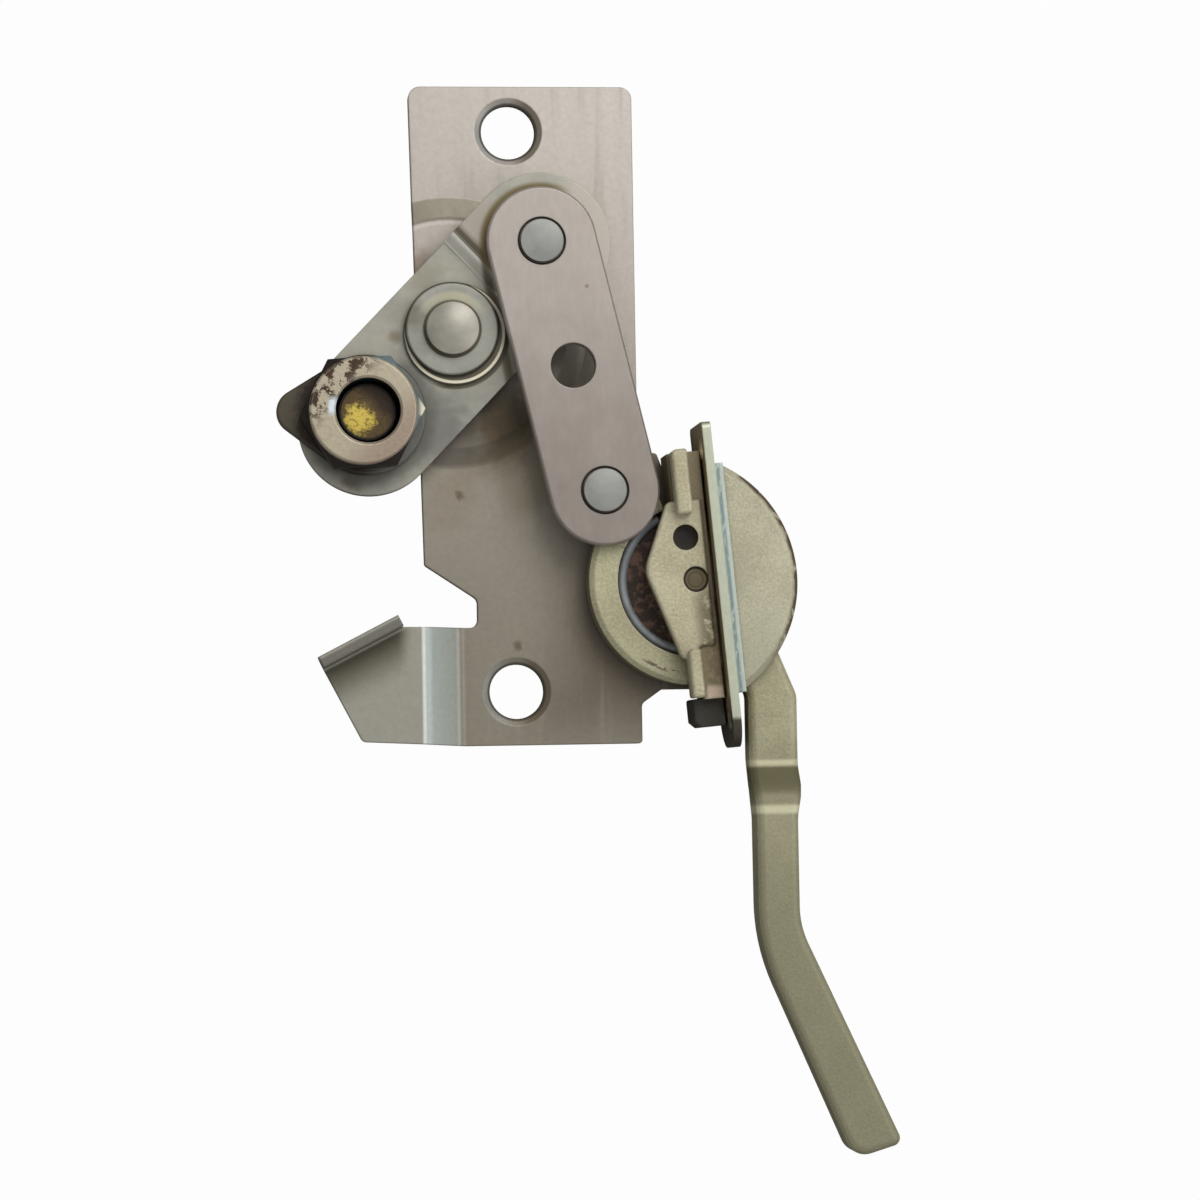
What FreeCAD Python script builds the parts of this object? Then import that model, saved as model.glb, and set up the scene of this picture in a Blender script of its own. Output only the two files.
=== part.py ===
import FreeCAD, Part
import math
import os

# Casement window lock. X runs from the roller side to the handle side, Y up the plate, Z out of its face.
# The origin is midway between the two fixing holes, on the plate's back.

# Clearances
RUN = 0.05            # radial play of a turning pin
FACE_GAP = 0.1        # play between sliding flat faces
SIDE_GAP = 0.4        # play beside the hub and the face plate
LAP = 0.2             # how far a leg runs into what it carries

# Base plate, one stamped sheet
PLATE_T = 1.8
PLATE_LEFT = -15.0
PLATE_LEFT_LOW = -13.5
PLATE_RIGHT = 18.7
PLATE_TOP = 48.8
PLATE_BOTTOM = -50.0
PLATE_CORNER_R = 1.8
HOLE_SPACING = 84.0
HOLE_R = 4.05
HOLE_RIM_R = 5.1
HOLE_RIM_DEPTH = 0.7
PAD_R = 20.4
PAD_RISE = 0.8
PAD_SLOPE = 3.0
EAR_TOP = -6.5
EAR_STEP = 2.1
EAR_SHOULDER = 2.8
EAR_FLARE = 0.8
EAR_UNDERCUT = 1.5
EAR_WEDGE = (3.0, 2.1)
NOTCH_TOP = -23.0
NOTCH_RIGHT = -5.7
NOTCH_DROP = 5.2
TAIL_TOP = -32.4
TAIL_BEND_X = -8.5
TAIL_RUN = 5.6
TAIL_RISE = 4.0
TAIL_TIP = (-28.9, -38.3)
TAIL_FOOT = (-23.2, -49.2)
TAB_START = (-17.2, -32.3)
TAB_HEIGHT = 4.2
TAB_ROOT = 1.0
TAB_EDGE_R = 0.3
BEND_R = 1.0

# Pivots of the linkage
HANDLE_PIVOT = (26.0, -26.0)
CRANK_PIVOT = (-9.2, 11.7)
EAR_ARM = 18.8
EAR_ANGLE = 135.0
CRANK_ARM = 18.2
CRANK_ANGLE = 43.7
TAIL_ARM = 18.7
TAIL_ANGLE = -131.5
STUD_ARM = 18.07
STUD_ANGLE = -135.6

# Crank and its pivot
SPACER_T = 0.5
SPACER_R = 4.9
CRANK_T = 2.2
CRANK_END_R = 10.5
CRANK_JOGGLE_AT = 10.0
CRANK_JOGGLE_RUN = 1.4
CRANK_JOGGLE_RISE = 3.0
CRANK_BEND_R = 0.4
PIVOT_R = 3.0
WIDE_WASHER_R = 7.6
WIDE_WASHER_T = 0.7
WIDE_WASHER_PLAY = 0.7
WIDE_WASHER_SAG = -52.0
WASHER_R = 7.0
WASHER_T = 1.1
WASHER_EDGE = 0.35
PIVOT_HEAD_R = 4.0
PIVOT_HEAD_H = 1.1
PIVOT_DOME = 0.9
PIVOT_FOOT_R = 5.0

# Open pivot: the shank's way through the crank
OPEN_SHANK_R = 2.0
SLOT_R = 2.7
SLOT_END_R = 3.45
SLOT_END = (-3.2, 1.0)

# Adjuster at the crank's free end
CAM_R = 8.9
CAM_T = 1.6
CAM_EDGE = 0.3
NOSE_ARM = 9.9
NOSE_ANGLE = 177.0
NOSE_R = 3.3
SLEEVE_AF = 16.0
SLEEVE_H = 6.9
SLEEVE_BORE_R = 4.75
SLEEVE_STEP = 2.6
SLEEVE_OFFSET = 0.7
SLEEVE_TURN = 3.0
SLEEVE_CROWN = 2.2
SLEEVE_CORNER_DROP = 0.8
SLEEVE_EDGE = 0.3
SLEEVE_CROWN_R = 7.9
SLEEVE_FOOT = 0.5
SLEEVE_MOUTH = 0.35
STUD_R = 4.0
STUD_NECK_R = 3.4
STUD_RIM = 0.6
STUD_HEAD_R = 5.0
STUD_HEAD_T = 1.3
STUD_RIM_T = 1.0
STUD_EDGE = 0.4

# Link bar and rivets
LINK_T = 2.2
LINK_R = 8.15
LINK_EDGE = 0.3
LINK_HOLE_R = 3.35
LINK_HOLE_SHARE = 0.5
RIVET_HEAD_R = 3.2
RIVET_HEAD_H = 0.9
RIVET_DOME = 0.22
RIVET_R = 2.4
RIVET_RECESS = 0.4
RIVET_RING = 0.35
RIVET_TAIL_R = 3.0
RIVET_TAIL_T = 1.0

# Handle, one cast lever
HUB_LIFT = 0.8
HUB_T = 5.2
HUB_R = 15.5
HUB_WALL = 4.2
HUB_BOSS_R = 6.0
THRUST_R = 4.4
HUB_FLOOR = 2.6
HUB_EDGE = 0.7
HUB_START = 112.0
HUB_END = 266.0
EAR_R = 7.2
EAR_ROOT_R = 4.5
EAR_T = 2.7
ARM_LOW = 0.8
BLADE_TOP = 12.0
BLADE_T = 6.2
BLADE_TIP_T = 5.0
JOGGLE_Y = -53.3
JOGGLE_RUN = 4.7
BLADE_LEFT = 34.3
BLADE_RIGHT = 40.4
BLADE_EDGE = 0.7
BLADE_BEND_Y = -77.3
BLADE_SWEEP_Y = -80.2
TIP_RIGHT = (55.1, -109.4)
TIP_LEFT = (47.7, -111.6)
TIP_CORNER_R = 1.2
ROOT_SWELL = 0.8
ROOT_EDGE = 0.3
SPRING_T = 1.5
SPRING_EDGE = 0.45
SPRING_END_GAP = 6.0
PIN_R = 1.9
PIN_RECESS = 0.6

# Face plate, with its own tilted frame: across (out of the window side), along, and Z
FACE_X = 28.9
FACE_TILT = 5.0
FACE_T = 1.3
FACE_TOP = 23.2
FACE_BOTTOM = -25.0
FACE_DEPTH = 13.0
FACE_CORNER_R = 1.0
FACE_FOOT_R = 4.6
FACE_HOLE_R = 1.7
FACE_HOLES = (19.6, -21.2)
FACE_HOLE_Z = 9.7
SLOT_LOW = -16.5
SLOT_HIGH = 7.4
COLLAR_T = 1.4
COLLAR_DEPTH = 11.6
COLLAR_HALF = 17.0

# Lock housing, one casting on the plate's ear
CHEEK_Z = 8.7
CHEEK_T = 2.0
FLANGE_T = 3.0
FLANGE_TOP = 19.2
FLANGE_BOTTOM = -17.5
FLANGE_Z = 9.9
LEG_BACK = -5.1
LEG_LOW = 9.5
LUG_TOP_Z = 13.0
LUG_CORNER_R = 0.4
UPPER_LUG_ACROSS = (-4.9, -2.6)
LOWER_LUG_ACROSS = (-5.4, -3.6)
UPPER_LUG_ALONG = (9.9, 19.5)
LOWER_LUG_ALONG = (-17.2, -10.0)
BLOCK_TOP = -17.3
BLOCK_BOTTOM = -21.6
BLOCK_BACK = -4.9
BLOCK_Z = (0.4, 8.2)
BLOCK_EDGE_R = 0.4
BLOCK_CUT = 0.9
CASTING_EDGE = 0.3
SPARE_HOLE = (-3.8, 6.55)
SPARE_HOLE_DEPTH = 1.6
HOUSING_RIVETS = (12.0, 15.8)
HOUSING_RIVET_R = 1.2
HOUSING_RIVET_HEAD_R = 2.0
HOUSING_RIVET_DEPTH = 1.4
HOUSING_RIVET_SINK = 0.2
FACE_RIVET_R = 1.0
FACE_RIVET_SINK = 0.3
FACE_RIVETS = (12.4, -19.4)

# Shroud over the lever's root
SHROUD_R = 19.2
SHROUD_CENTRE = (-6.8, 0.15)
SHROUD_Z = (1.0, 10.5)
SHROUD_SLOT = (2.5, 8.3)
SHROUD_ROOT_T = 1.1
SHROUD_RIM_T = 1.6
SHROUD_RIM_FROM = 18.5
SHROUD_EDGE = 1.0

# Heights worked out from the sheet below
PAD_Z = PLATE_T + PAD_RISE
CRANK_Z = PAD_Z + SPACER_T
CRANK_TOP = CRANK_Z + CRANK_T
RAISED_Z = CRANK_Z + CRANK_JOGGLE_RISE
RAISED_TOP = RAISED_Z + CRANK_T
LINK_Z = RAISED_TOP + FACE_GAP
LINK_TOP = LINK_Z + LINK_T
EAR_TOP_Z = LINK_Z - FACE_GAP
HUB_Z = PLATE_T + HUB_LIFT
HUB_TOP = HUB_Z + HUB_T
WASHERS_Z = CRANK_TOP
CAM_TOP = CRANK_TOP + CAM_T
CHEEK_TOP = CHEEK_Z + CHEEK_T
SPRING_R = HUB_R - HUB_WALL - SPRING_T / 2 - RUN
TAIL_JOIN_X = TAIL_BEND_X + BEND_R
LEVER_REACH = PLATE_TOP - TIP_LEFT[1]

Z_AXIS = FreeCAD.Vector(0, 0, 1)
X_AXIS = FreeCAD.Vector(1, 0, 0)
ORIGIN = FreeCAD.Vector(0, 0, 0)


def polar(centre, radius, degrees):
    """The point at a distance and an angle from centre."""
    turn = math.radians(degrees)
    return (centre[0] + radius * math.cos(turn), centre[1] + radius * math.sin(turn))


LINK_LOW = polar(HANDLE_PIVOT, EAR_ARM, EAR_ANGLE)
LINK_HIGH = polar(CRANK_PIVOT, CRANK_ARM, CRANK_ANGLE)
CRANK_TAIL = polar(CRANK_PIVOT, TAIL_ARM, TAIL_ANGLE)
STUD = polar(CRANK_PIVOT, STUD_ARM, STUD_ANGLE)
NOSE = polar(STUD, NOSE_ARM, NOSE_ANGLE)


def corner_arc(before, corner, after, radius):
    """Start, middle and end of the arc that rounds one corner."""
    to_before = (before - corner).normalize()
    to_after = (after - corner).normalize()
    half = math.acos(max(-1.0, min(1.0, to_before.dot(to_after)))) / 2
    cut = radius / math.tan(half)
    centre = corner + (to_before + to_after).normalize() * (radius / math.sin(half))
    middle = centre + (corner - centre).normalize() * radius
    return corner + to_before * cut, middle, corner + to_after * cut


def rounded_face(corners):
    """A face in XY through corners (x, y, radius)."""
    points = [FreeCAD.Vector(x, y, 0) for x, y, _ in corners]
    arcs = []
    for i, (_, _, radius) in enumerate(corners):
        if radius == 0:
            arcs.append((points[i], points[i], points[i]))
        else:
            arcs.append(corner_arc(points[i - 1], points[i], points[(i + 1) % len(points)], radius))
    edges = []
    for i, (start, middle, end) in enumerate(arcs):
        if start != end:
            edges.append(Part.Arc(start, middle, end).toShape())
        edges.append(Part.LineSegment(end, arcs[(i + 1) % len(arcs)][0]).toShape())
    return Part.Face(Part.Wire(edges))


def prism(corners, low, high):
    """An XY outline raised from low to high."""
    solid = rounded_face(corners).extrude(FreeCAD.Vector(0, 0, high - low))
    solid.translate(FreeCAD.Vector(0, 0, low))
    return solid


def side_prism(corners, width):
    """An outline (x, z, radius), extruded evenly about y = 0."""
    face = rounded_face(corners)
    face.rotate(ORIGIN, X_AXIS, 90)
    face.translate(FreeCAD.Vector(0, -width / 2, 0))
    return face.extrude(FreeCAD.Vector(0, width, 0))


def disc(centre, radius, low, high):
    return Part.makeCylinder(radius, high - low, FreeCAD.Vector(centre[0], centre[1], low))


def ring(centre, inner, outer, low, high):
    return disc(centre, outer, low, high).cut(disc(centre, inner, low - 1, high + 1))


def box(x0, x1, y0, y1, z0, z1):
    return Part.makeBox(x1 - x0, y1 - y0, z1 - z0, FreeCAD.Vector(x0, y0, z0))


def turned(centre, profile):
    """A solid of revolution about Z from (radius, z, corner radius)."""
    face = rounded_face(profile)
    face.rotate(ORIGIN, X_AXIS, 90)
    solid = face.revolve(ORIGIN, Z_AXIS, 360)
    solid.translate(FreeCAD.Vector(centre[0], centre[1], 0))
    return solid


def domed(centre, shank_r, low, seat, head_r, head_top, dome):
    """A rivet: shank from low to seat, then a head with a domed top."""
    points = [(0, low), (shank_r, low), (shank_r, seat), (head_r, seat), (head_r, head_top)]
    corners = [FreeCAD.Vector(r, 0, z) for r, z in points]
    crown = FreeCAD.Vector(0, 0, head_top + dome)
    sphere_r = (head_r ** 2 + dome ** 2) / (2 * dome)
    half = math.asin(head_r / sphere_r) / 2
    middle = FreeCAD.Vector(sphere_r * math.sin(half), 0, head_top + dome - sphere_r * (1 - math.cos(half)))
    edges = [Part.LineSegment(a, b).toShape() for a, b in zip(corners, corners[1:])]
    edges.append(Part.Arc(corners[-1], middle, crown).toShape())
    edges.append(Part.LineSegment(crown, corners[0]).toShape())
    solid = Part.Face(Part.Wire(edges)).revolve(ORIGIN, Z_AXIS, 360)
    solid.translate(FreeCAD.Vector(centre[0], centre[1], 0))
    return solid


def joined(first, *others):
    return first.fuse(list(others)).removeSplitter()


def strap(a, radius_a, b, radius_b, low, high):
    """Two round ends and the straight sides that touch them both."""
    along = math.atan2(b[1] - a[1], b[0] - a[0])
    lean = math.acos((radius_a - radius_b) / math.hypot(b[0] - a[0], b[1] - a[1]))
    corners = []
    for centre, radius, side in ((a, radius_a, 1), (b, radius_b, 1), (b, radius_b, -1), (a, radius_a, -1)):
        corners.append((*polar(centre, radius, math.degrees(along + side * lean)), 0))
    middle = prism(corners, low, high)
    return joined(middle, disc(a, radius_a, low, high), disc(b, radius_b, low, high))


def edge_broken(solid, z, size, below_y=None):
    """Breaks the edges in the plane z, or only those of them below a line across Y."""
    picked = []
    for edge in solid.Edges:
        limits = edge.BoundBox
        flat = abs(limits.ZMin - z) < 1e-3 and abs(limits.ZMax - z) < 1e-3
        if flat and (below_y is None or limits.YMax < below_y):
            picked.append(edge)
    return solid.makeChamfer(size, picked)


def joggle(low_end, bend, run, high_end, z, rise, thick, inner_r):
    """Side outline of a sheet that steps up by rise between bend and bend + run."""
    way = 1 if high_end > low_end else -1
    shift = way * thick * math.tan(math.atan2(rise, run) / 2)
    foot = bend + way * run
    outer_r = inner_r + thick
    return [
        (low_end, z, 0),
        (bend, z, outer_r),
        (foot, z + rise, inner_r),
        (high_end, z + rise, 0),
        (high_end, z + rise + thick, 0),
        (foot - shift, z + rise + thick, outer_r),
        (bend - shift, z + thick, inner_r),
        (low_end, z + thick, 0),
    ]


def turned_to(solid, degrees, place):
    """Turns a solid made about the origin, then carries it to its place."""
    solid.rotate(ORIGIN, Z_AXIS, degrees)
    solid.translate(FreeCAD.Vector(place[0], place[1], 0))
    return solid


def face_point(across, along):
    """The XY place of a point of the face plate's frame."""
    turn = math.radians(FACE_TILT)
    x = FACE_X + across * math.cos(turn) - along * math.sin(turn)
    y = HANDLE_PIVOT[1] + across * math.sin(turn) + along * math.cos(turn)
    return (x, y)


def from_face(solid):
    """Carries a solid made in the face plate's frame to its place."""
    return turned_to(solid, FACE_TILT, (FACE_X, HANDLE_PIVOT[1]))


def cross_hole(radius, along, z, start, end):
    """A cylinder through the face plate, in its frame."""
    return Part.makeCylinder(radius, end - start, FreeCAD.Vector(start, along, z), X_AXIS)


def plate_outline():
    ear_low = face_point(-SIDE_GAP, FLANGE_BOTTOM + EAR_UNDERCUT)
    ear_high = face_point(-SIDE_GAP, FLANGE_TOP - SIDE_GAP)
    return [
        (PLATE_LEFT, PLATE_TOP, PLATE_CORNER_R),
        (PLATE_RIGHT, PLATE_TOP, PLATE_CORNER_R),
        (PLATE_RIGHT, EAR_TOP, 0.5),
        (PLATE_RIGHT + EAR_SHOULDER, EAR_TOP, 0.6),
        (PLATE_RIGHT + EAR_SHOULDER + EAR_FLARE, EAR_TOP - EAR_STEP, 0.5),
        (ear_high[0], EAR_TOP - EAR_STEP, 0),
        (ear_low[0], ear_low[1], 0),
        (PLATE_RIGHT + EAR_WEDGE[0], ear_low[1], 1.0),
        (PLATE_RIGHT, ear_low[1] - EAR_WEDGE[1], 1.0),
        (PLATE_RIGHT, PLATE_BOTTOM, 0.6),
        (TAIL_JOIN_X, PLATE_BOTTOM, 0),
        (TAIL_JOIN_X, TAIL_TOP, 0),
        (NOTCH_RIGHT, TAIL_TOP, 1.2),
        (NOTCH_RIGHT, NOTCH_TOP - NOTCH_DROP, 1.2),
        (PLATE_LEFT_LOW, NOTCH_TOP, 0.6),
    ]


def embossed_pad():
    """The raised pad, and the hollow that it leaves in the back."""
    inner_r = PAD_R - PAD_RISE
    pad = Part.makeCone(PAD_R, PAD_R - PAD_SLOPE, PAD_RISE, FreeCAD.Vector(*CRANK_PIVOT, PLATE_T))
    hollow = Part.makeCone(inner_r, inner_r - PAD_SLOPE, PAD_RISE, FreeCAD.Vector(*CRANK_PIVOT, 0))
    outline = prism(plate_outline(), -1, PLATE_T + PAD_RISE + 1)
    return pad.common(outline), hollow


def tail():
    """The raised tail and the tab that is bent up from its edge."""
    outline = prism([
        (TAIL_JOIN_X, PLATE_BOTTOM, 0),
        (TAIL_JOIN_X, TAIL_TOP, 0),
        (*TAB_START, 0),
        (*TAIL_TIP, 0),
        (*TAIL_FOOT, 1.0),
    ], -1, PLATE_T + TAIL_RISE + 1)
    side = joggle(TAIL_JOIN_X, TAIL_BEND_X, TAIL_RUN, TAIL_TIP[0] - 2, 0, TAIL_RISE, PLATE_T, BEND_R)
    sheet = side_prism(side, -3 * PLATE_BOTTOM)
    length = math.dist(TAB_START, TAIL_TIP)
    heading = math.degrees(math.atan2(TAIL_TIP[1] - TAB_START[1], TAIL_TIP[0] - TAB_START[0]))
    low = TAIL_RISE
    top = low + PLATE_T + TAB_HEIGHT
    tab = side_prism([
        (-TAB_ROOT, low, 0),
        (PLATE_T, low, PLATE_T + BEND_R / 2),
        (PLATE_T, top, TAB_EDGE_R),
        (0, top, TAB_EDGE_R),
        (0, low + PLATE_T, BEND_R / 2),
        (-TAB_ROOT, low + PLATE_T, 0),
    ], length)
    middle = ((TAB_START[0] + TAIL_TIP[0]) / 2, (TAB_START[1] + TAIL_TIP[1]) / 2)
    return outline.common(sheet), turned_to(tab, heading - 90, middle)


def base_plate():
    sheet = prism(plate_outline(), 0, PLATE_T)
    pad, hollow = embossed_pad()
    plate = joined(sheet, pad, *tail())
    cuts = [hollow, disc(CRANK_PIVOT, PIVOT_R, -1, PAD_Z + 1), disc(HANDLE_PIVOT, PIN_R, -1, PLATE_T + 1)]
    for side in (1, -1):
        centre = (0, side * HOLE_SPACING / 2)
        cuts.append(disc(centre, HOLE_R, -1, PLATE_T + 1))
        cuts.append(Part.makeCone(HOLE_R, HOLE_RIM_R, HOLE_RIM_DEPTH,
                                  FreeCAD.Vector(*centre, PLATE_T - HOLE_RIM_DEPTH)))
    for along in HOUSING_RIVETS:
        place = face_point((LEG_BACK - SIDE_GAP) / 2, along)
        cuts.append(disc(place, HOUSING_RIVET_R, -1, PLATE_T + 1))
        cuts.append(disc(place, HOUSING_RIVET_HEAD_R, -1, PLATE_T / 2))
    return plate.cut(cuts)


def pivot_rivet():
    top = WASHERS_Z + WIDE_WASHER_T + WASHER_T
    body = domed(CRANK_PIVOT, PIVOT_R, PAD_RISE / 2, top, PIVOT_HEAD_R, top + PIVOT_HEAD_H, PIVOT_DOME)
    foot = disc(CRANK_PIVOT, PIVOT_FOOT_R, PAD_RISE / 2, PAD_RISE)
    return joined(body, foot)


def pivot_spacer():
    return ring(CRANK_PIVOT, PIVOT_R + RUN, SPACER_R, PAD_Z, CRANK_Z)


def wide_washer():
    """A washer with a loose bore, which has sagged to one side of the rivet."""
    centre = polar(CRANK_PIVOT, WIDE_WASHER_PLAY, WIDE_WASHER_SAG)
    bore_r = PIVOT_R + RUN + WIDE_WASHER_PLAY
    return ring(centre, bore_r, WIDE_WASHER_R, WASHERS_Z, WASHERS_Z + WIDE_WASHER_T)


def small_washer():
    low = WASHERS_Z + WIDE_WASHER_T
    top = low + WASHER_T
    return turned(CRANK_PIVOT, [
        (PIVOT_R + RUN, low, 0),
        (WASHER_R, low, 0),
        (WASHER_R, top - WASHER_EDGE, 0),
        (WASHER_R - WASHER_EDGE, top, 0),
        (PIVOT_R + RUN, top, 0),
    ])


def crank_arm():
    outline = strap(LINK_HIGH, CRANK_END_R, CRANK_TAIL, CRANK_END_R, CRANK_Z - 1, RAISED_TOP + 1)
    sheet = side_prism(joggle(
        -TAIL_ARM - 2 * CRANK_END_R, CRANK_JOGGLE_AT, CRANK_JOGGLE_RUN, CRANK_ARM + 2 * CRANK_END_R,
        CRANK_Z, CRANK_JOGGLE_RISE, CRANK_T, CRANK_BEND_R), 4 * CRANK_END_R)
    arm = outline.common(turned_to(sheet, CRANK_ANGLE, CRANK_PIVOT))
    slot = strap((0, 0), SLOT_R, SLOT_END, SLOT_END_R, RAISED_Z - 1, RAISED_TOP + 1)
    return arm.cut([
        disc(CRANK_PIVOT, PIVOT_R + RUN, 0, RAISED_TOP),
        disc(STUD, STUD_NECK_R, 0, CRANK_TOP + 1),
        turned_to(slot, CRANK_ANGLE, LINK_HIGH),
    ])


def cam_plate():
    plate = edge_broken(strap(STUD, CAM_R, NOSE, NOSE_R, CRANK_TOP, CAM_TOP), CAM_TOP, CAM_EDGE)
    return plate.cut(disc(STUD, STUD_NECK_R, CRANK_TOP - 1, CAM_TOP + 1))


def adjuster_stud():
    """A stud through crank and cam plate, its top spread over the sleeve's step."""
    head_low = CRANK_Z - STUD_HEAD_T
    step = CAM_TOP + SLEEVE_STEP
    rim_r = STUD_R + STUD_RIM
    return turned(STUD, [
        (0, head_low, 0),
        (STUD_HEAD_R - STUD_EDGE, head_low, 0),
        (STUD_HEAD_R, head_low + STUD_EDGE, 0),
        (STUD_HEAD_R, CRANK_Z, 0),
        (STUD_NECK_R, CRANK_Z, 0),
        (STUD_NECK_R, CAM_TOP, 0),
        (STUD_R, CAM_TOP, 0),
        (STUD_R, step + FACE_GAP, 0),
        (rim_r, step + FACE_GAP, 0),
        (rim_r, step + STUD_RIM_T - STUD_EDGE, 0),
        (rim_r - STUD_EDGE, step + STUD_RIM_T, 0),
        (0, step + STUD_RIM_T, 0),
    ])


def hex_sleeve():
    """A hexagon turned down to a round crown, bored off its centre."""
    low = CAM_TOP + FACE_GAP
    top = CAM_TOP + SLEEVE_H
    centre = (STUD[0] - SLEEVE_OFFSET, STUD[1])
    corner_r = SLEEVE_AF / 2 / math.cos(math.radians(30))
    corners = [(*polar(centre, corner_r, SLEEVE_TURN + 60 * i), 0) for i in range(6)]
    crown = turned(centre, [
        (0, low, 0),
        (corner_r - SLEEVE_FOOT, low, 0),
        (corner_r, low + SLEEVE_FOOT, 0),
        (corner_r, top - SLEEVE_CROWN - SLEEVE_CORNER_DROP, 0),
        (SLEEVE_CROWN_R, top - SLEEVE_CROWN, 0),
        (SLEEVE_CROWN_R, top - SLEEVE_EDGE, 0),
        (SLEEVE_CROWN_R - SLEEVE_EDGE, top, 0),
        (0, top, 0),
    ])
    step = CAM_TOP + SLEEVE_STEP
    mouth = Part.makeCone(SLEEVE_BORE_R, SLEEVE_BORE_R + SLEEVE_MOUTH, SLEEVE_MOUTH,
                          FreeCAD.Vector(*STUD, top - SLEEVE_MOUTH))
    return prism(corners, low, top).common(crown).cut([
        disc(STUD, STUD_R + RUN, low - 1, top),
        disc(STUD, SLEEVE_BORE_R, step, top + 1),
        mouth,
    ])


def link_bar():
    bar = edge_broken(strap(LINK_LOW, LINK_R, LINK_HIGH, LINK_R, LINK_Z, LINK_TOP), LINK_TOP, LINK_EDGE)
    share = LINK_HOLE_SHARE
    spare = [low + share * (high - low) for low, high in zip(LINK_LOW, LINK_HIGH)]
    cuts = [disc(spare, LINK_HOLE_R, LINK_Z - 1, LINK_TOP + 1)]
    for centre, radius in ((LINK_LOW, RIVET_R), (LINK_HIGH, OPEN_SHANK_R)):
        cuts.append(disc(centre, radius, LINK_Z - 1, LINK_TOP + 1))
        cuts.append(disc(centre, RIVET_HEAD_R + RIVET_RING, LINK_TOP - RIVET_RECESS, LINK_TOP + 1))
    return bar.cut(cuts)


def link_rivet(centre, shank_r, low):
    seat = LINK_TOP - RIVET_RECESS
    return domed(centre, shank_r, low, seat, RIVET_HEAD_R, seat + RIVET_HEAD_H, RIVET_DOME)


def link_rivet_upper():
    return link_rivet(LINK_HIGH, OPEN_SHANK_R, RAISED_Z)


def link_rivet_lower():
    tail_top = EAR_TOP_Z - EAR_T - FACE_GAP
    low = tail_top - RIVET_TAIL_T
    return joined(link_rivet(LINK_LOW, RIVET_R, low), disc(LINK_LOW, RIVET_TAIL_R, low, tail_top))


def sector(centre, radius, start, end, low, high):
    """A pie slice from start to end, in degrees."""
    slice_ = Part.makeCylinder(radius, high - low, ORIGIN, Z_AXIS, end - start)
    slice_.translate(FreeCAD.Vector(0, 0, low))
    return turned_to(slice_, start, centre)


def hub():
    """The cast ring with its floor, boss and the ear for the link."""
    whole = turned(HANDLE_PIVOT, [
        (0, HUB_Z, 0),
        (HUB_R, HUB_Z, 0),
        (HUB_R, HUB_TOP - HUB_EDGE, 0),
        (HUB_R - HUB_EDGE, HUB_TOP, 0),
        (0, HUB_TOP, 0),
    ])
    pocket = ring(HANDLE_PIVOT, HUB_BOSS_R, HUB_R - HUB_WALL, HUB_Z + HUB_FLOOR, HUB_TOP + 1)
    slice_ = sector(HANDLE_PIVOT, HUB_R + 1, HUB_START, HUB_END, HUB_Z, HUB_TOP)
    boss = disc(HANDLE_PIVOT, HUB_BOSS_R, HUB_Z, HUB_TOP)
    root = polar(HANDLE_PIVOT, HUB_R - HUB_WALL / 2, EAR_ANGLE)
    ear = strap(root, EAR_ROOT_R, LINK_LOW, EAR_R, EAR_TOP_Z - EAR_T, EAR_TOP_Z)
    ear = ear.cut(disc(HANDLE_PIVOT, HUB_R - HUB_WALL, 0, EAR_TOP_Z + 1))
    return joined(whole.cut(pocket).common(slice_), boss, ear)


def lever_outline():
    """The arm from the hub, the waist, the blade and its swept tip, seen from above."""
    x, y = HANDLE_PIVOT
    swell_low = JOGGLE_Y - 3.2
    blade_start = JOGGLE_Y - 8.0
    return [
        (x + 3.4, y + 4.8, 1.5),
        (x + 10.6, y - 5.8, 4.0),
        (x + 12.8, y - 11.4, 4.0),
        (BLADE_RIGHT + ROOT_SWELL, y - 17.2, 3.0),
        (BLADE_RIGHT + ROOT_SWELL, swell_low, 4.0),
        (BLADE_RIGHT, blade_start, 8.0),
        (BLADE_RIGHT, BLADE_BEND_Y, 13.0),
        (*TIP_RIGHT, TIP_CORNER_R),
        (*TIP_LEFT, 3.0),
        (BLADE_LEFT, BLADE_SWEEP_Y, 31.0),
        (BLADE_LEFT, blade_start, 8.0),
        (BLADE_LEFT - ROOT_SWELL / 2, swell_low, 4.0),
        (BLADE_LEFT - ROOT_SWELL / 2, y - 16.8, 3.0),
        (x + 4.1, y - 12.0, 3.0),
        (x - 3.6, y - 5.0, 1.5),
    ]


def lever_side():
    """The lever from the side: a flat root, then a step up to the tapering blade."""
    root_low = HUB_Z + ARM_LOW
    start = -HANDLE_PIVOT[1] - 10.0
    end = -TIP_LEFT[1] + 1.4
    return [
        (start, root_low, 0),
        (-JOGGLE_Y - 0.6, root_low, 3.0),
        (-JOGGLE_Y + JOGGLE_RUN - 1.2, BLADE_TOP - BLADE_T, 2.0),
        (end, BLADE_TOP - BLADE_TIP_T, 0),
        (end, BLADE_TOP, 0),
        (-JOGGLE_Y + JOGGLE_RUN, BLADE_TOP, 2.0),
        (-JOGGLE_Y, HUB_TOP, 1.5),
        (start, HUB_TOP, 0),
    ]


def lever():
    outline = prism(lever_outline(), 0, BLADE_TOP + 1)
    side = turned_to(side_prism(lever_side(), LEVER_REACH), -90, (0, 0))
    blade = edge_broken(outline.common(side), BLADE_TOP, BLADE_EDGE, JOGGLE_Y - JOGGLE_RUN)
    return edge_broken(blade, HUB_TOP, ROOT_EDGE, HANDLE_PIVOT[1] - HUB_R)


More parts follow.
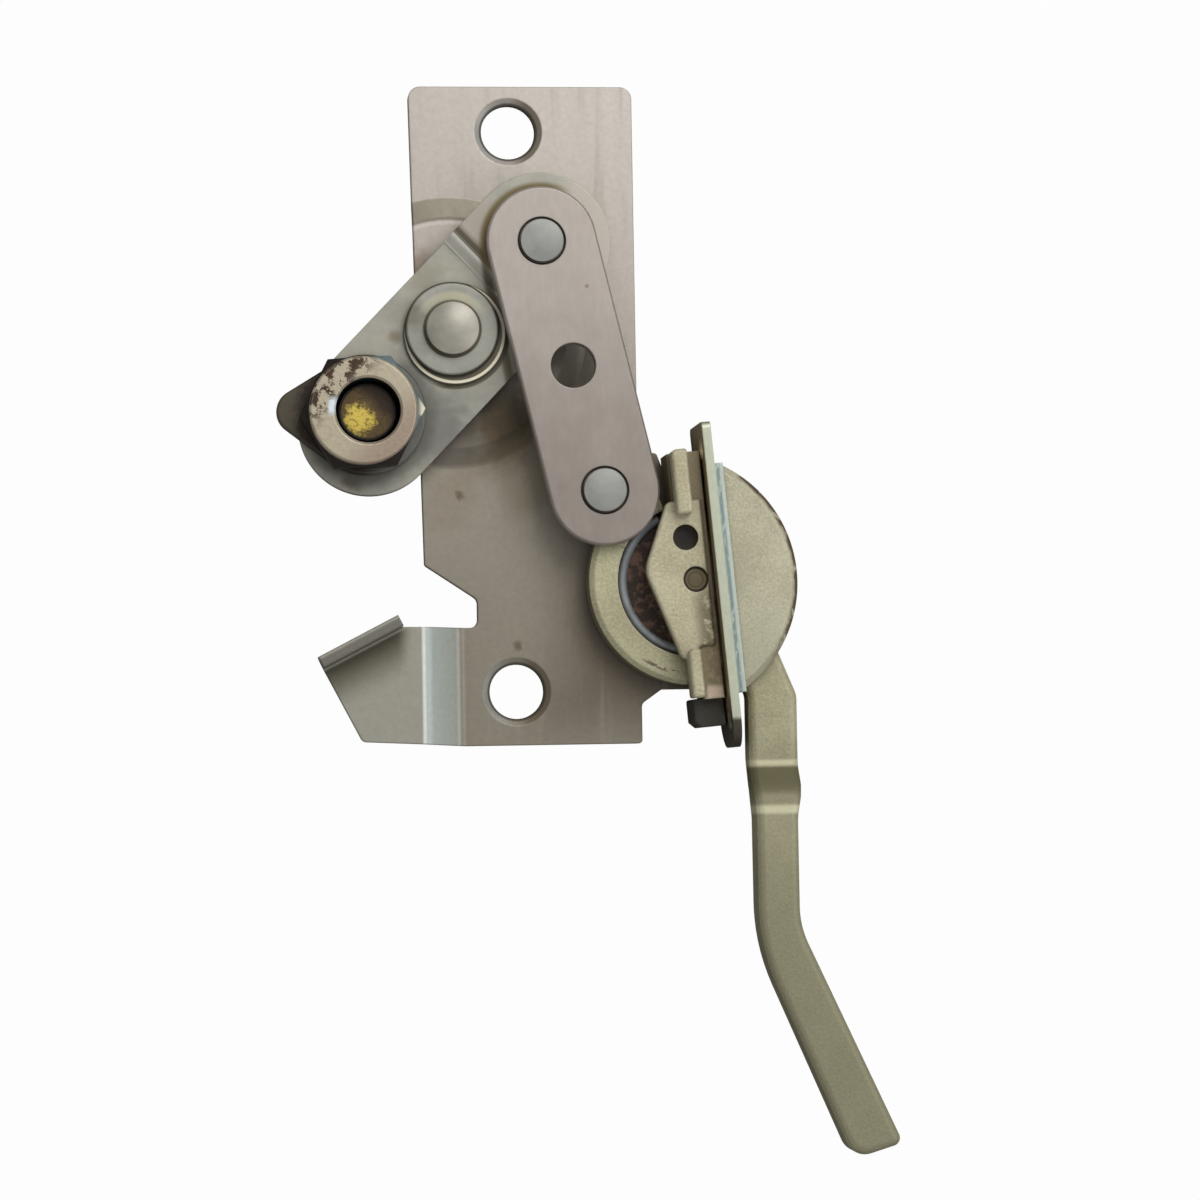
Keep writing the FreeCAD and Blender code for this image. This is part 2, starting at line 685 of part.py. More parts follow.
def handle_lever():
    handle = joined(hub(), lever())
    return handle.cut([
        disc(HANDLE_PIVOT, PIN_R + RUN, 0, HUB_TOP + 1),
        disc(LINK_LOW, RIVET_R + RUN, 0, EAR_TOP_Z + 1),
    ])


def spring_ring():
    """The bent strip that lies in the hub's pocket, its four edges broken."""
    low = HUB_Z + HUB_FLOOR
    inner, outer = SPRING_R - SPRING_T / 2, SPRING_R + SPRING_T / 2
    top, cut = low + SPRING_T, SPRING_EDGE
    strip = turned(HANDLE_PIVOT, [
        (inner, low + cut, 0),
        (inner + cut, low, 0),
        (outer - cut, low, 0),
        (outer, low + cut, 0),
        (outer, top - cut, 0),
        (outer - cut, top, 0),
        (inner + cut, top, 0),
        (inner, top - cut, 0),
    ])
    start, end = HUB_START + SPRING_END_GAP, HUB_END - SPRING_END_GAP
    return strip.common(sector(HANDLE_PIVOT, HUB_R, start, end, low, top))


def handle_pin():
    return disc(HANDLE_PIVOT, PIN_R, PLATE_T / 4, CHEEK_TOP - PIN_RECESS)


def front_washer():
    return ring(HANDLE_PIVOT, PIN_R + RUN, THRUST_R, HUB_TOP + FACE_GAP, CHEEK_Z)


def back_washer():
    return ring(HANDLE_PIVOT, PIN_R + RUN, THRUST_R, PLATE_T, HUB_Z - FACE_GAP)


def cheek():
    """The D-shaped cheek over the hub, in the face plate's frame."""
    return edge_broken(prism([
        (-6.1, 12.0, 1.0),
        (-10.3, 2.3, 4.0),
        (-6.1, -11.4, 1.2),
        (-4.6, -11.4, 1.0),
        (-3.2, -9.6, 1.0),
        (-1.0, -9.6, 0),
        (-1.0, 12.0, 0),
    ], CHEEK_Z, CHEEK_TOP), CHEEK_TOP, CASTING_EDGE)


def lug(across, along):
    """An upright post on the cheek's level, in the face plate's frame."""
    post = prism([
        (across[0], along[0], LUG_CORNER_R),
        (across[0], along[1], 2 * LUG_CORNER_R),
        (across[1], along[1], LUG_CORNER_R),
        (across[1], along[0], LUG_CORNER_R),
    ], CHEEK_Z, LUG_TOP_Z)
    return edge_broken(post, LUG_TOP_Z, CASTING_EDGE)


def lock_housing():
    """One casting: flange, leg, lower block, cheek and two lugs."""
    edge = -SIDE_GAP
    flange = box(edge - FLANGE_T, edge, FLANGE_BOTTOM, FLANGE_TOP, PLATE_T, FLANGE_Z)
    window = box(edge - FLANGE_T - 1, edge + 1, SLOT_LOW, SLOT_HIGH, 0, CHEEK_Z)
    leg = box(LEG_BACK, edge, LEG_LOW, FLANGE_TOP, PLATE_T, CHEEK_Z + LAP)
    block = prism([
        (BLOCK_BACK, BLOCK_TOP, BLOCK_EDGE_R),
        (BLOCK_BACK, BLOCK_BOTTOM + BLOCK_CUT, BLOCK_EDGE_R),
        (BLOCK_BACK + BLOCK_CUT, BLOCK_BOTTOM, BLOCK_EDGE_R),
        (edge, BLOCK_BOTTOM, BLOCK_EDGE_R),
        (edge, BLOCK_TOP, 0),
    ], *BLOCK_Z)
    upper = lug(UPPER_LUG_ACROSS, UPPER_LUG_ALONG)
    lower = lug(LOWER_LUG_ACROSS, LOWER_LUG_ALONG)
    body = joined(flange.cut(window), leg, block, cheek(), upper, lower)
    body = from_face(body.cut(disc(SPARE_HOLE, PIN_R, CHEEK_TOP - SPARE_HOLE_DEPTH, CHEEK_TOP + 1)))
    cuts = [disc(HANDLE_PIVOT, PIN_R, CHEEK_Z - 1, CHEEK_TOP + 1)]
    cuts += housing_rivet_shanks()
    cuts += [from_face(shank) for shank in face_rivet_shanks()]
    return body.cut(cuts)


def housing_rivet_shanks():
    places = [face_point((LEG_BACK - SIDE_GAP) / 2, along) for along in HOUSING_RIVETS]
    top = PLATE_T + HOUSING_RIVET_DEPTH
    return [disc(place, HOUSING_RIVET_R, HOUSING_RIVET_SINK, top) for place in places]


def housing_rivets():
    """Two studs from the plate's back, as separate solids."""
    rivets = []
    for shank, along in zip(housing_rivet_shanks(), HOUSING_RIVETS):
        place = face_point((LEG_BACK - SIDE_GAP) / 2, along)
        head = disc(place, HOUSING_RIVET_HEAD_R, HOUSING_RIVET_SINK, PLATE_T / 2)
        rivets.append(joined(shank, head))
    return Part.makeCompound(rivets)


def face_rivet_shanks():
    """The upper rivet goes on through collar and shroud, the lower one ends in the face plate."""
    z = CHEEK_Z / 2
    far_end = FACE_T + COLLAR_T + SHROUD_ROOT_T
    start = -SIDE_GAP - FLANGE_T + FACE_RIVET_SINK
    upper = cross_hole(FACE_RIVET_R, FACE_RIVETS[0], z, start, far_end)
    lower = cross_hole(FACE_RIVET_R, FACE_RIVETS[1], z, start, FACE_T)
    return [upper, lower]


def face_rivet_upper():
    return from_face(face_rivet_shanks()[0])


def face_rivet_lower():
    return from_face(face_rivet_shanks()[1])


def way_through(low, high, z_low):
    """The slot for hub and arm, in the face plate's frame."""
    return box(low, high, SLOT_LOW, SLOT_HIGH, z_low, CHEEK_Z)


def face_plate():
    """A flat strip on edge, nearly square at its upper end and rounded at its lower one."""
    corners = [
        (0, FACE_BOTTOM, FACE_FOOT_R),
        (0, FACE_TOP, FACE_CORNER_R),
        (FACE_DEPTH, FACE_TOP, FACE_CORNER_R),
        (FACE_DEPTH, FACE_BOTTOM, FACE_FOOT_R),
    ]
    plate = prism(corners, 0, FACE_T)
    plate.rotate(ORIGIN, FreeCAD.Vector(0, 1, 0), -90)
    plate.translate(FreeCAD.Vector(FACE_T, 0, 0))
    cuts = [way_through(-1, FACE_T + 1, PLATE_T - FACE_GAP), *face_rivet_shanks()]
    for along in FACE_HOLES:
        cuts.append(cross_hole(FACE_HOLE_R, along, FACE_HOLE_Z, -1, FACE_T + 1))
    return from_face(plate.cut(cuts))


def slot_collar():
    strip = box(FACE_T, FACE_T + COLLAR_T, -COLLAR_HALF, COLLAR_HALF, SHROUD_Z[0], COLLAR_DEPTH)
    slot = way_through(0, FACE_T + COLLAR_T + 1, PLATE_T - FACE_GAP)
    return from_face(strip.cut([slot, *face_rivet_shanks()]))


def shroud():
    """A half-round cover: two cheeks, a root flange and a rim that stops short of the lever."""
    root = FACE_T + COLLAR_T
    reach = 2 * SHROUD_R
    low, high = SHROUD_Z
    slot_low, slot_high = SHROUD_SLOT
    body = turned(SHROUD_CENTRE, [
        (0, low, 0),
        (SHROUD_R - SHROUD_EDGE / 2, low, 0),
        (SHROUD_R, low + SHROUD_EDGE / 2, 0),
        (SHROUD_R, high - SHROUD_EDGE, 0),
        (SHROUD_R - SHROUD_EDGE, high, 0),
        (0, high, 0),
    ]).common(box(root, reach, -reach, reach, low, high))
    rim = ring(SHROUD_CENTRE, SHROUD_R - SHROUD_RIM_T, reach, slot_low, slot_high)
    rim = rim.common(sector(SHROUD_CENTRE, reach + 1, SHROUD_RIM_FROM, 90, slot_low, slot_high))
    inside = box(root + SHROUD_ROOT_T, reach, -reach, reach, slot_low, slot_high).cut(rim)
    window = box(0, root + SHROUD_ROOT_T + 1, SLOT_LOW, SLOT_HIGH, slot_low, slot_high)
    return from_face(body.cut([inside, window, *face_rivet_shanks()]))


def main():
    os.makedirs("parts", exist_ok=True)
    makers = [
        base_plate, pivot_rivet, pivot_spacer, wide_washer, small_washer,
        crank_arm, cam_plate, adjuster_stud, hex_sleeve,
        link_bar, link_rivet_upper, link_rivet_lower,
        handle_lever, spring_ring, handle_pin, front_washer, back_washer,
        lock_housing, housing_rivets, face_plate, face_rivet_upper, face_rivet_lower,
        slot_collar, shroud,
    ]
    for maker in makers:
        solid = maker()
        solid.exportStep(os.path.join("parts", maker.__name__ + ".step"))
        print(maker.__name__, "solids", len(solid.Solids), "volume", round(solid.Volume, 1))


main()
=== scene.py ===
# %% [markdown]
# A casement window lock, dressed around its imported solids.
# The lock is a stamped steel plate that carries a crank, a link bar and a cast handle. Its metal parts keep
# their CAD shapes, because those are already right, so most of this lesson is about finishes: satin sheet,
# zinc, brown grease, fine cast paint and worn edges. We start by loading the frame and noting its box.

# %% Load the frame
import math

import bpy
from mathutils import Matrix, Quaternion, Vector


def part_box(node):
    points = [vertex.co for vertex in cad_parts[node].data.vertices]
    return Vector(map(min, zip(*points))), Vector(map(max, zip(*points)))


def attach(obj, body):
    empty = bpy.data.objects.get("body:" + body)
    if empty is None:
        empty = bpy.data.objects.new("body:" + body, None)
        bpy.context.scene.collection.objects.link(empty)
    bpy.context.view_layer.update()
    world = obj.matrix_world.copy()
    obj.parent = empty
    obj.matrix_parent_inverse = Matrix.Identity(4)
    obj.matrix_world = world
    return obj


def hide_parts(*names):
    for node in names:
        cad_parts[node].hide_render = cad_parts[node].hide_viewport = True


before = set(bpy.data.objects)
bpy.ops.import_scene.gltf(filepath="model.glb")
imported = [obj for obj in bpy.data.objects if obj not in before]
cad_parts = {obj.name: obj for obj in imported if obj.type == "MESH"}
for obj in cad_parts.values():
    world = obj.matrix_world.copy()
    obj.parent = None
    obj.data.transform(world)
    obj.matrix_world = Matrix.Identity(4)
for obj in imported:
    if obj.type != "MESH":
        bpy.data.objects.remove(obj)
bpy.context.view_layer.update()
MM = 0.001

# %% [markdown]
# The camera looks down on the lock from its lower left, a few degrees off straight down. A helper turns it
# to a target and then rolls it a little, as the photograph was. The place was fitted to the fixing holes,
# rivets and plate corners, so that the solids land where they are in the photograph.

# %% Camera
CAMERA_PLACE = (-48.8, -55.4, 549.6)
CAMERA_TARGET = (12.64, -28.49, 2.0)
CAMERA_ROLL = -0.985
FIELD_OF_VIEW = 18.46


def aim(item, place, target, roll=0.0):
    """Puts a camera or lamp at a place in mm and points it at a target, with the plate's Y upwards."""
    back = (Vector(place) - Vector(target)).normalized()
    right = Vector((0, 1, 0)).cross(back).normalized()
    heading = Matrix((right, back.cross(right), back)).transposed().to_quaternion()
    item.location = Vector(place) * MM
    item.rotation_mode = "QUATERNION"
    item.rotation_quaternion = heading @ Quaternion((0, 0, 1), math.radians(roll))


def add_object(name, data):
    item = bpy.data.objects.new(name, data)
    bpy.context.scene.collection.objects.link(item)
    return item


camera = add_object("camera", bpy.data.cameras.new("camera"))
camera.data.angle = math.radians(FIELD_OF_VIEW)
camera.data.clip_start, camera.data.clip_end = 0.01, 10
aim(camera, CAMERA_PLACE, CAMERA_TARGET, CAMERA_ROLL)
bpy.context.scene.camera = camera
bpy.context.scene.view_settings.view_transform = "Standard"
print("camera height", CAMERA_PLACE[2], "mm, field of view", FIELD_OF_VIEW)

# %% [markdown]
# Shader maths is easier to read as Python. This class wraps one socket of a material. Its operators add
# Math nodes, also where a number stands on the left, and its method node adds any other kind. Settings go
# in before the sockets are filled, because some nodes change their sockets with their settings.

# %% A socket that can be added and multiplied


class Socket:
    """One value or colour inside a material."""

    def __init__(self, tree, link=None):
        self.tree = tree
        self.link = link

    def node(self, kind, settings, values, output=0):
        made = self.tree.nodes.new(kind)
        for name, setting in settings.items():
            setattr(made, name, setting)
        for name, value in values.items():
            if isinstance(name, int):
                socket = made.inputs[name]
            else:
                socket = next(s for s in made.inputs if name in (s.identifier, s.name) and s.enabled)
            if isinstance(value, Socket):
                self.tree.links.new(value.link, socket)
            else:
                socket.default_value = value
        if isinstance(output, str):
            named = (i for i, s in enumerate(made.outputs) if output in (s.identifier, s.name) and s.enabled)
            output = next(named)
        return Socket(self.tree, made.outputs[output])

    def maths(self, operation, *values):
        return self.node("ShaderNodeMath", {"operation": operation}, dict(enumerate(values)))

    def __add__(self, other):
        return self.maths("ADD", self, other)

    def __sub__(self, other):
        return self.maths("SUBTRACT", self, other)

    def __rsub__(self, other):
        return self.maths("SUBTRACT", other, self)

    def __mul__(self, other):
        return self.maths("MULTIPLY", self, other)

    def __pow__(self, other):
        return self.maths("POWER", self, other)

    __radd__ = __add__
    __rmul__ = __mul__

    def size(self):
        return self.maths("ABSOLUTE", self)


# %% [markdown]
# On top of the class come a few words that every finish uses. Lengths in them are millimetres, because a
# worn edge or a smear of grease is easier to judge in millimetres than in metres. Each mask runs from 0 to 1.

# %% Words for masks and colours


def rgb(red, green, blue):
    """A colour as seen on a screen, 0 to 255, turned into light."""
    light = [((v / 255 + 0.055) / 1.055) ** 2.4 for v in (red, green, blue)]
    return (*light, 1.0)


def place_in_mm(start):
    """The point on the surface, in millimetres of the lock's own frame."""
    point = start.node("ShaderNodeTexCoord", {}, {}, "Object")
    return start.node("ShaderNodeVectorMath", {"operation": "SCALE"}, {"Vector": point, "Scale": 1 / MM})


def axis(point, name):
    """One coordinate of a point: X, Y or Z."""
    return point.node("ShaderNodeSeparateXYZ", {}, {0: point}, name)


def axes(point, names="XY"):
    """Coordinates of a point, in the order of names."""
    return [axis(point, name) for name in names]


def rise(value, low, high):
    """0 below low, 1 above high, smooth between. Low may be the larger one."""
    settings = {"interpolation_type": "SMOOTHSTEP"}
    return value.node("ShaderNodeMapRange", settings, {"Value": value, "From Min": low, "From Max": high})


def noise(point, scale, detail=3.0, roughness=0.5):
    """Cloudy noise about 0.5, with scale patches to the millimetre."""
    values = {"Vector": point, "Scale": scale, "Detail": detail, "Roughness": roughness}
    return point.node("ShaderNodeTexNoise", {}, values)


def stretched(point, along_x, along_y):
    """The point scaled in X and Y, so that noise on it becomes streaks."""
    scale = (along_x, along_y, 1.0)
    return point.node("ShaderNodeVectorMath", {"operation": "MULTIPLY"}, {0: point, 1: scale})


def radius_from(point, centre):
    """Distance from an upright axis."""
    x, y = axes(point)
    return ((x - centre[0]) ** 2 + (y - centre[1]) ** 2) ** 0.5


def band(value, middle, half, soft):
    """1 within half of middle, fading over soft."""
    return rise((value - middle).size(), half + soft, half)


def mix(under, over, mask):
    """Colour over on top of colour under where mask is 1."""
    return mask.node("ShaderNodeMix", {"data_type": "RGBA"},
                     {"Factor_Float": mask, "A_Color": under, "B_Color": over}, "Result_Color")


def darken(colour, mask):
    """The colour times the mask."""
    grey = mask.node("ShaderNodeCombineColor", {}, {0: mask, 1: mask, 2: mask})
    return mask.node("ShaderNodeMix", {"data_type": "RGBA", "blend_type": "MULTIPLY"},
                     {"Factor_Float": 1.0, "A_Color": colour, "B_Color": grey}, "Result_Color")


def ring_mark(p, centre, radius, half, soft=0.15):
    """1 on a thin ring about an upright axis."""
    return band(radius_from(p, centre), radius, half, soft)


def along_line(p, start_at, degrees):
    """How far a point lies from start_at in the direction of degrees, seen from above."""
    x, y = axes(p)
    turn = math.radians(degrees)
    return (x - start_at[0]) * math.cos(turn) + (y - start_at[1]) * math.sin(turn)


# %% [markdown]
# Used metal shows its edges and its corners: edges are broken and rubbed bright, corners hold dirt. Both can
# be found while rendering, so no edge has to be modelled twice. A Bevel node rounds the normals near an
# edge, and where they leave the flat normal there is an edge. Ambient Occlusion tells how close another
# surface is, and the finishes use it to put dirt and painted shade into corners. The last helpers open a
# material and close it with one shader.

# %% Edges, crevices and the shader itself
BEVEL_SAMPLES = 6
CREVICE_SAMPLES = 8
EDGE_COSINES = (0.985, 0.86)


def crevice(start, reach):
    """1 in the open, falling towards 0 where another surface is close: where grease and muck sit, and shade
    is painted.
    """
    values = {"Distance": reach * MM}
    return start.node("ShaderNodeAmbientOcclusion", {"samples": CREVICE_SAMPLES}, values, "AO")


def rounded(start, radius):
    """Normals that run softly round each edge, as a broken edge does."""
    return start.node("ShaderNodeBevel", {"samples": BEVEL_SAMPLES}, {"Radius": radius * MM})


def edge_of(start, radius):
    """1 on edges: where the rounded normal leaves the flat one."""
    flat = start.node("ShaderNodeNewGeometry", {}, {}, "Normal")
    together = start.node("ShaderNodeVectorMath", {"operation": "DOT_PRODUCT"},
                          {0: rounded(start, radius), 1: flat}, "Value")
    return rise(together, *EDGE_COSINES)


def material(name):
    """A new material and the socket that its maths starts from."""
    made = bpy.data.materials.new(name)
    made.use_nodes = True
    made.node_tree.nodes.clear()
    return made, Socket(made.node_tree)


def close_with(start, shader):
    """Sends a shader to the material's output."""
    output = start.tree.nodes.new("ShaderNodeOutputMaterial")
    start.tree.links.new(shader.link, output.inputs["Surface"])


def surface(start, colour, roughness, metallic, height, depth, soft):
    """Closes a material: one shader, a bump of the given depth and edges broken by soft, both in mm."""
    normal = start.node("ShaderNodeBump", {}, {
        "Height": height, "Distance": depth * MM, "Strength": 1.0, "Normal": rounded(start, soft)})
    close_with(start, start.node("ShaderNodeBsdfPrincipled", {}, {
        "Base Color": colour, "Roughness": roughness, "Metallic": metallic, "Normal": normal}))


# %% [markdown]
# The photo's background is cut out, so the floor has two jobs. To the camera it glows a clean white, mixed
# with a little of its own shade, so that a trace of shadow stays. To all other rays it is a dark bench, which
# leaves the lock's side walls as dark as they are in the photo.

# %% Floor
FLOOR_REACH = 3.0
FLOOR_DROP = 0.02
FLOOR_GLOW = 0.98
BENCH = (0.2, 0.19, 0.18, 1)
WHITE = (1, 1, 1, 1)


def floor_material():
    made, start = material("pale_floor")
    seen = start.node("ShaderNodeLightPath", {}, {}, "Is Camera Ray")
    matt = start.node("ShaderNodeBsdfDiffuse", {}, {"Color": BENCH})
    glow = start.node("ShaderNodeEmission", {}, {"Color": WHITE, "Strength": 1.0})
    close_with(start, start.node("ShaderNodeMixShader", {}, {0: seen * FLOOR_GLOW, 1: matt, 2: glow}))
    return made


def floor_mesh():
    r, z = FLOOR_REACH, -FLOOR_DROP * MM
    mesh = bpy.data.meshes.new("floor")
    mesh.from_pydata([(-r, -r, z), (r, -r, z), (r, r, z), (-r, r, z)], [], [(0, 1, 2, 3)])
    return mesh


floor = add_object("floor", floor_mesh())
floor.data.materials.append(floor_material())
print("floor", 2 * FLOOR_REACH, "m across,", FLOOR_DROP, "mm below the plate")

# %% [markdown]
# The light is soft and mostly from above. A large lamp stands to the upper right, which throws the short
# shadows to the lower left and lights the upper end of the satin plate more than the lower one. The world
# fills the rest. Together they light a level face at about 1, so that colours render nearly as written.

# %% Lights
KEY = {"place": (190, 330, 470), "size": 420, "power": 1.9}
SIDE = {"place": (420, -120, 330), "size": 300, "power": 0.5}
LAMP_TARGET = (5, -15, 0)
FILL_LIGHT = 0.52
SKY = (0.98, 0.99, 1.0, 1)


def soft_lamp(name, place, size, power):
    data = bpy.data.lights.new(name, "AREA")
    data.shape, data.size, data.energy = "SQUARE", size * MM, power
    lamp = add_object(name, data)
    aim(lamp, place, LAMP_TARGET)
    lamp.visible_camera = False
    return lamp


soft_lamp("window_lamp", **KEY)
soft_lamp("side_lamp", **SIDE)
world = bpy.data.worlds.new("studio")
world.use_nodes = True
background = world.node_tree.nodes["Background"]
background.inputs["Color"].default_value = SKY
background.inputs["Strength"].default_value = FILL_LIGHT
bpy.context.scene.world = world
print("lamps", KEY["power"], SIDE["power"], "world", FILL_LIGHT)

# %% [markdown]
# The places that the finishes refer to come from the frame. Each pivot is the middle of the box of the round
# piece that turns on it, and each level is the top of the piece that reaches it.

# %% Places on the lock


def middle_of(node):
    """The middle of a node's box, in mm."""
    low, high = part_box(node)
    return tuple((low + high) / 2 / MM)


def top_of(node):
    """The highest point of a node, in mm."""
    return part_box(node)[1].z / MM


PIVOT = middle_of("pivot_spacer")
HANDLE_PIN = middle_of("handle_pin")
STUD = middle_of("adjuster_stud")
UPPER_RIVET = middle_of("link_rivet_upper")
LOWER_RIVET = middle_of("link_rivet_lower")
CASTING_TOP = top_of("lock_housing")
FACE_EDGE_Z = top_of("face_plate")
SLEEVE_TOP = top_of("hex_sleeve")
print("crank pivot", [round(v, 1) for v in PIVOT], "handle pin", [round(v, 1) for v in HANDLE_PIN])
print("levels", [round(v, 1) for v in (CASTING_TOP, FACE_EDGE_Z, SLEEVE_TOP)])

# %% [markdown]
# The base plate is zinc-plated sheet that has been handled and greased. It is warm grey and pinker at its
# upper end, with faint rolling streaks. Its colour is painted brighter at the upper end and darker towards
# the handle, partly as grease and partly as painted shade where the light falls off. The flank of the round
# pad carries painted shade and its lip a painted highlight, with an olive film beyond it, the corner beside
# the crank is rusty, and brown grease has been pushed out between crank and link. A painted shadow lies
# where the plate shows through the link's hole. All of it is noise and distance, because a painted picture
# would not survive a turned camera.

# %% The plate's open face
PAD_FLANK_R = 18.6
PAD_LIP_R = 16.5
DARKER_PAD_R = 20
OLIVE_R = 24
SQUEEZED_AT = (-0.5, -2.5)
LINK_HOLE_SHADOW = (9.1, 6.6)
RUSTY_CORNER = (-14.5, 21.5)
PUNCH_MARKS = ((-8.1, -12.6), (0.2, -35.2))


def sheet_tone_and_shade(p, streaks, clouds):
    """The zinc, faintly streaked, with painted light falloff and grease: paler above, darker towards the
    housing.
    """
    x, y = axes(p)
    # Paler towards the upper end: partly grease lower down, partly painted light falling off downwards.
    base = mix(rgb(140, 132, 118), rgb(182, 174, 165), rise(y + clouds * 12, -34, 46))
    # Darker towards the housing: grease and the hub's painted shadow.
    shade = rise(x - y * 0.25 + clouds * 8, 12, 26) * band(y, -25, 17, 12)
    base = mix(base, rgb(102, 91, 77), shade * 0.75)
    return mix(base, rgb(146, 140, 126), rise(streaks, 0.5, 0.72) * 0.35)


def pad_marks(p, base):
    """Painted shade on the pad's flank and a painted highlight on its lip; below the pivot, a darker pad."""
    x, y = axes(p)
    from_pivot = radius_from(p, PIVOT)
    upper_left = rise(y - x, 6, 16)
    # Painted shade on the pad's flank.
    base = mix(base, rgb(122, 115, 98), band(from_pivot, PAD_FLANK_R, 1.5, 0.5) * upper_left * 0.85)
    # Painted highlight on the pad's lip.
    base = mix(base, rgb(204, 198, 188), band(from_pivot, PAD_LIP_R, 0.15, 0.3) * upper_left * 0.5)
    darker_pad = rise(from_pivot, DARKER_PAD_R + 0.4, DARKER_PAD_R - 0.4) * rise(y, 8, 0)
    return mix(base, rgb(104, 98, 88), darker_pad * 0.75)


def stains_and_shadow(p, base, squeezed, clouds, fine):
    """Squeezed-out grease, an olive film, painted shadow below the link's hole, rust and punch marks."""
    base = mix(base, rgb(76, 64, 44), squeezed * 0.85)
    base = mix(base, rgb(116, 88, 50), squeezed * rise(noise(p, 0.45, 4.0), 0.52, 0.66) * 0.35)
    film = band(radius_from(p, PIVOT), OLIVE_R, 4, 3) * rise(axis(p, "Y"), 4, -4)
    base = mix(base, rgb(132, 121, 97), film * rise(clouds, 0.35, 0.55) * 0.5)
    # Painted shadow where the plate is seen through the link's hole.
    base = mix(base, rgb(80, 78, 66), rise(radius_from(p, LINK_HOLE_SHADOW), 4.2, 3.4) * 0.6)
    rust = rise(radius_from(p, RUSTY_CORNER) + noise(p, 0.5) * 5, 7.0, 3.5)
    base = mix(base, rgb(140, 116, 98), rust * 0.6)
    for mark in PUNCH_MARKS:
        base = mix(base, rgb(92, 76, 56), rise(radius_from(p, mark) + fine, 1.5, 0.8) * 0.7)
    return base


print("plate: pad flank", PAD_FLANK_R, "mm from the crank's pivot, swept area", DARKER_PAD_R, "mm")

# %% [markdown]
# The plate's tail is joggled and ends in a bent-up tab. Its bends have two thin painted highlights, the slope
# between them a paler bluish painted sheen, and the tab's painted shadow lies on the sheet beside it. The
# fixing holes have painted light and shade: a bright rim on the left, a brown one on the right and dark
# walls. These marks follow the sheet's own shape, so each is a distance from a bend, from the tab's line or
# from a hole's middle. After them, the layers of the plate's finish are put together, from the bare zinc to
# the grease and painted shade in its corners.

# %% The plate's tail, its holes and its finish
TAIL_TOP_Y = -30
TAIL_BENDS = (-14.05, -8.75)
BEND_SHINE = (0.75, 0.25)
TAB_LINE = ((-17.2, -32.3), -62.9)
FIXING_HOLES = ((0, 42), (0, -42))
HOLE_R = 4.05


def tail_marks(p, base):
    """A paler tail, a painted highlight on each bend, a painted sheen on the slope, and the tab's painted
    shadow.
    """
    x, y = axes(p)
    low = rise(y, TAIL_TOP_Y + 1, TAIL_TOP_Y - 1)
    tail = rise(x, TAIL_BENDS[1] + 1, TAIL_BENDS[1] - 1) * low
    base = mix(base, rgb(164, 161, 148), tail * 0.85)
    # Painted sheen: the slope between the bends is paler and bluish.
    slope = rise(x, TAIL_BENDS[0] - 0.3, TAIL_BENDS[0] + 0.6) * tail
    base = mix(base, mix(rgb(172, 179, 174), rgb(160, 164, 156), rise(x, *TAIL_BENDS)), slope)
    # Painted highlights along the two bends.
    for bend, shine in zip(TAIL_BENDS, BEND_SHINE):
        base = mix(base, rgb(226, 230, 226), band(x, bend, 0.08, 0.35) * low * shine)
    off_tab = along_line(p, *TAB_LINE)
    beside_tab = rise(x, TAIL_BENDS[0] - 1.5, TAIL_BENDS[0] - 4) * low
    # Painted shadow of the bent-up tab on the sheet beside it.
    shade = rise(off_tab, 7.5, 1.0) * rise(off_tab, 0.2, 0.7) * beside_tab
    base = mix(base, rgb(84, 80, 62), shade * 0.9)
    # A darker band along the tab's line: painted shade.
    return mix(base, rgb(104, 102, 92), band(off_tab, -0.6, 0.5, 0.5) * beside_tab * 0.8)


def hole_marks(p, base):
    """Painted light at each fixing hole: a rim bright on its left, brown on its right, and a dark wall."""
    x = axis(p, "X")
    for hole in FIXING_HOLES:
        from_hole = radius_from(p, hole)
        rim = band(from_hole, HOLE_R + 0.5, 0.45, 0.15)
        # Painted highlight on the rim's left and painted shade on its right.
        base = mix(base, rgb(150, 153, 148), rim * rise(x, hole[0], hole[0] - 3) * 0.6)
        base = mix(base, rgb(104, 92, 70), rim * rise(x, hole[0], hole[0] + 3) * 0.7)
        # Painted shade on the hole's wall.
        base = mix(base, rgb(66, 58, 48), rise(from_hole, HOLE_R + 0.5, HOLE_R + 0.2) * 0.8)
    return base


def plate_steel():
    made, start = material("plate_steel")
    p = place_in_mm(start)
    streaks = noise(stretched(p, 0.5, 0.04), 1.0, 3.0)
    clouds = noise(p, 0.08, 4.0)
    fine = noise(p, 1.3, 3.0, 0.6)
    squeezed = rise(radius_from(p, SQUEEZED_AT) + noise(p, 0.3) * 8, 13.5, 5.5)
    base = pad_marks(p, sheet_tone_and_shade(p, streaks, clouds))
    base = stains_and_shadow(p, base, squeezed, clouds, fine)
    base = hole_marks(p, tail_marks(p, base))
    base = mix(base, rgb(94, 84, 72), edge_of(start, 0.35) * 0.5)
    base = darken(base, 0.88 + fine * 0.24)
    # Painted shade: the plate darkens where another surface is close.
    base = darken(base, 0.4 + crevice(start, 2.5) * 0.6)
    surface(start, base, 0.4 + streaks * 0.16 + squeezed * 0.1, 0.62, fine + streaks * 0.6, 0.012, 0.35)
    return made


print("plate: tail bends at x", TAIL_BENDS, "mm, holes of radius", HOLE_R, "mm")

# %% [markdown]
# Crank, link, washers and rivets are the same sheet and bar stock, but each has its own tint: the crank is
# greenish grey, the link a smooth mauve grey that darkens towards the handle, the washers duller. One
# function serves them all, with two tints and the two heights between which one fades into the other. It
# takes a list of stained spots, each with a place, a reach in mm, a colour and a strength, a list of rings
# of grease round pins, and a function for what only one piece shows.

# %% Satin metal
BROWN = rgb(62, 48, 34)
GREASE = rgb(84, 72, 50)


